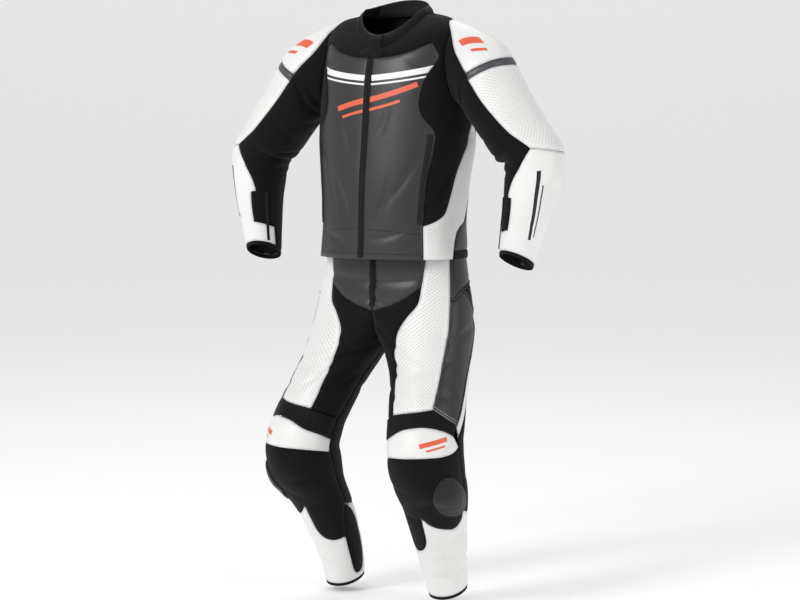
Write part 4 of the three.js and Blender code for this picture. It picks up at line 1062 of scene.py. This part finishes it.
def rib_rows():
    def spread(places, t):
        x = t * (len(places) - 1)
        return np.stack([np.interp(x, range(len(places)), places[:, c]) for c in (0, 1)], axis=1)
    t = np.linspace(0.012, 0.988, RIB_PLACES)
    top = spread(np.vstack([curve(leg, RIB_TOP)[::-1], curve(leg, RIB_ARC)[1:]]), t)
    bottom = spread(np.vstack([curve(leg, KNEE_TOP[1:])[::-1], [RIB_CORNER]]), t)
    down = np.linspace(0.97, 0.03, RIB_COUNT * RIB_ROWS + 1)
    rows = [leg.point(*(top + (bottom - top) * w).T) for w in down]
    ridge = np.abs(np.sin(np.linspace(0, RIB_COUNT * math.pi, len(down)))) ** 0.7
    return rows, WALL + RIB_RISE * np.repeat(ridge[:, None], len(t), axis=1)


SLIDER = {"q": 66, "v": -1070, "half_q": 30, "half_v": 50, "lift": 1.8, "height": 10, "narrowing": 0.24,
          "rim": 0.3, "fall": 0.62, "groove": 0.9, "groove_at": 0.74, "groove_width": 0.03}
PATCH_MARGIN = 1.16         # of the patch under the slider


def egg(profile, sides=64):
    """A closed egg that narrows upwards, from its radii and their heights over the cloth."""
    turn = np.arange(sides) / sides * 2 * math.pi
    points = []
    for r, rise in profile:
        narrow = 1 - SLIDER["narrowing"] * np.sin(turn)
        q = SLIDER["q"] + SLIDER["half_q"] * r * narrow * np.cos(turn)
        v = SLIDER["v"] + SLIDER["half_v"] * r * np.sin(turn)
        points.append(leg.point(q, v) + leg.out(q, v) * rise)
    return np.vstack(points), [f[::-1] for f in tube_faces(len(profile), sides)]


def slider_profile():
    """A soft dome with a rounded rim and a groove round its face."""
    lift, height = SLIDER["lift"], SLIDER["height"]
    profile = [(r, lift) for r in (0.2, 0.6, 0.95)]
    for r in (0.985, 1.0, 0.995, 0.98):
        profile.append((r, lift + height * SLIDER["rim"] * (len(profile) - 2) / 4))
    for r in np.linspace(0.96, 0.04, 26):
        groove = SLIDER["groove"] * math.exp(-((r - SLIDER["groove_at"]) / SLIDER["groove_width"]) ** 2)
        profile.append((r, lift + height * (1 - SLIDER["fall"] * r**2.4) - groove))
    return profile


def front_at(x, z):
    """The point on the front of the trousers at a given distance from the middle."""
    q, _ = place_at(abs(x), z)
    return (x, *leg.point([q], [z])[0, 1:])


PIPING = [("hip", HIP_SEAM, 0, 1.5, "dark_thread"), ("thigh", THIGH_SIDE, 0, 1.4, "dark_thread"),
          ("knee_low", RIB_ARC, 2.5, 0.9, "silver"), ("knee_high", RIB_ARC, 9, 0.7, "silver")]
ribs, rib_height = rib_rows()
SLIDER_PARTS = [
    ("knee_slider", *egg(slider_profile()), "slider"),
    ("slider_patch", *egg([(0.2, 0.5), (1.1, 0.5), (PATCH_MARGIN, 0.6), (PATCH_MARGIN, 1.2), (1.13, 1.6),
                           (0.9, 1.7), (0.3, 1.7)]), "binding"),
]
for label, sign in BOTH:
    for name, anchor, padding, look in LEG_PIECES:
        panel(f"{name}_{label}", trousers, anchor, look, padding, sign)
    made = plate(f"knee_ribs_{label}_look", ribs, -WALL, rib_height, sign)
    place_strip((made[0], made[1], made[2] * RIB_CLOTH), f"knee_ribs_{label}", "black_leather")
    for name, points, faces, look in SLIDER_PARTS:
        pad = make_object(f"{name}_{label}_look", *on_side(sign, points, faces))
        trim(pad, look)
        if name == "knee_slider":
            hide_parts(f"{name}_{label}")
    for name, route, shift, radius, look in PIPING:
        line = curve(leg, route, 6) + np.array([0, shift])
        raised = leg.point(*line.T) + leg.out(*line.T) * 0.5
        trim(make_object(f"piping_{name}_{label}", *cord(raised * np.array([sign, 1, 1]), radius)), look)

# Zips and pocket welts
main = strip(trunk, np.linspace(*MAIN_ZIP_UP, 110), lambda v: np.linspace(*MAIN_ZIP_Q, 9))
place_strip(plate("main_zip_look", main, TAPE_LIFT, TAPE_WALL), "main_zip", "zip")
zip_teeth(main)
fly_rows = [[front_at(x, z) for x in np.linspace(*FLY_ZIP_X, 9)] for z in np.linspace(*FLY_ZIP_Z, 40)]
place_strip(plate("fly_zip_look", fly_rows, TAPE_LIFT, TAPE_WALL), "fly_zip", "zip")
zip_teeth(fly_rows)
for label, sign in BOTH:
    welt = strip(trunk, np.linspace(*WELT_UP, 60), lambda v: np.linspace(
        *(np.interp(v, WELT_UP, ends) for ends in WELT_SIDES), 9))
    place_strip(plate(f"pocket_welt_{label}_look", welt, TAPE_LIFT, WELT_WALL, sign),
                f"pocket_welt_{label}", "welt")
    zip_teeth(welt, WELT_TOOTH_RISE, sign)

for name, spots, size in (("pale_thread", threads["pale_thread"], STITCH_SIZE),
                          ("dark_thread", threads["dark_thread"], STITCH_SIZE), ("teeth", teeth, TOOTH_SIZE)):
    for part, above in (("jacket", True), ("legs", False)):
        within = [spot for spot in spots if (spot[0][2] > WAIST) == above]
        if within:
            trim(make_object(f"{name}_{part}", *grains(within, size)), name)

# Stage, in metres
PAPER_GLOW = 0.2
PAPER_TONES = ((0.86, 0.86, 0.86), (0.88, 0.88, 0.88))
FLOOR_REACH = 40
WALL_START = 9
WALL_BEND = 2.5
WALL_TOP = 12
WORLD_STRENGTH = 0.56
LAMP_AIM = (0, 0, -0.6)
profile = [(-FLOOR_REACH, 0), (WALL_START, 0)]
profile += [(WALL_START + WALL_BEND * math.sin(a), WALL_BEND * (1 - math.cos(a)))
            for a in np.linspace(0.1, math.pi / 2, 14)]
profile.append((WALL_START + WALL_BEND, WALL_TOP))
count = len(profile)
turn_to_camera = math.radians(CAMERA_AZIMUTH)
right = Vector((math.cos(turn_to_camera), math.sin(turn_to_camera), 0))
back_off = Vector((math.sin(turn_to_camera), -math.cos(turn_to_camera), 0))
corners = [right * x - back_off * y + Vector((0, 0, z + FLOOR_HEIGHT))
           for x in (-FLOOR_REACH, FLOOR_REACH) for y, z in profile]
stage_mesh = bpy.data.meshes.new("floor")
stage_mesh.from_pydata(corners, [], [(i + 1, i, i + count, i + count + 1) for i in range(count - 1)])
stage_mesh.polygons.foreach_set("use_smooth", [True] * len(stage_mesh.polygons))
ground = bpy.data.objects.new("floor", stage_mesh)
bpy.context.scene.collection.objects.link(ground)
paper = Nodes("paper")
grain = paper.add("ShaderNodeTexNoise", {"Scale": 3.0, "Detail": 3.0}).outputs["Fac"]
ground.data.materials.append(paper.finished({
    "Base Color": paper.mix(grain, *PAPER_TONES), "Roughness": 0.9, "Emission Color": (1, 1, 1, 1),
    "Emission Strength": PAPER_GLOW}))

world = bpy.data.worlds.new("studio")
world.use_nodes = True
world.node_tree.nodes["Background"].inputs["Color"].default_value = (1, 1, 1, 1)
world.node_tree.nodes["Background"].inputs["Strength"].default_value = WORLD_STRENGTH
bpy.context.scene.world = world


def area_light(name, azimuth, height, distance, size, power_w):
    """A soft light at an azimuth from the suit's front, aimed at the suit's middle."""
    lamp = bpy.data.lights.new(name, "AREA")
    lamp.shape = "RECTANGLE"
    lamp.size, lamp.size_y = size
    lamp.energy = power_w
    shown = bpy.data.objects.new(name, lamp)
    a = math.radians(azimuth)
    shown.location = (math.sin(a) * distance, -math.cos(a) * distance, height)
    aim = Vector(LAMP_AIM) - shown.location
    shown.rotation_euler = aim.to_track_quat("-Z", "Y").to_euler()
    bpy.context.scene.collection.objects.link(shown)


area_light("key", CAMERA_AZIMUTH - 48, height=1.8, distance=4.0, size=(1.0, 1.8), power_w=88)
area_light("fill", CAMERA_AZIMUTH + 52, height=0.8, distance=4.2, size=(0.8, 2.6), power_w=30)
area_light("top", CAMERA_AZIMUTH + 180, height=3.2, distance=2.6, size=(2.4, 0.8), power_w=40)

lens = bpy.data.cameras.new("camera")
lens.lens = CAMERA_LENS
lens.sensor_width = SENSOR_WIDTH
lens.clip_end = CLIP_END
camera = bpy.data.objects.new("camera", lens)
camera.location = right * AIM_SIDE + back_off * CAMERA_DISTANCE + Vector((0, 0, CAMERA_HEIGHT))
target = right * AIM_SIDE + Vector((0, 0, AIM_HEIGHT))
camera.rotation_euler = (target - camera.location).to_track_quat("-Z", "Y").to_euler()
bpy.context.scene.collection.objects.link(camera)
bpy.context.scene.camera = camera
bpy.context.scene.view_settings.view_transform = "Standard"
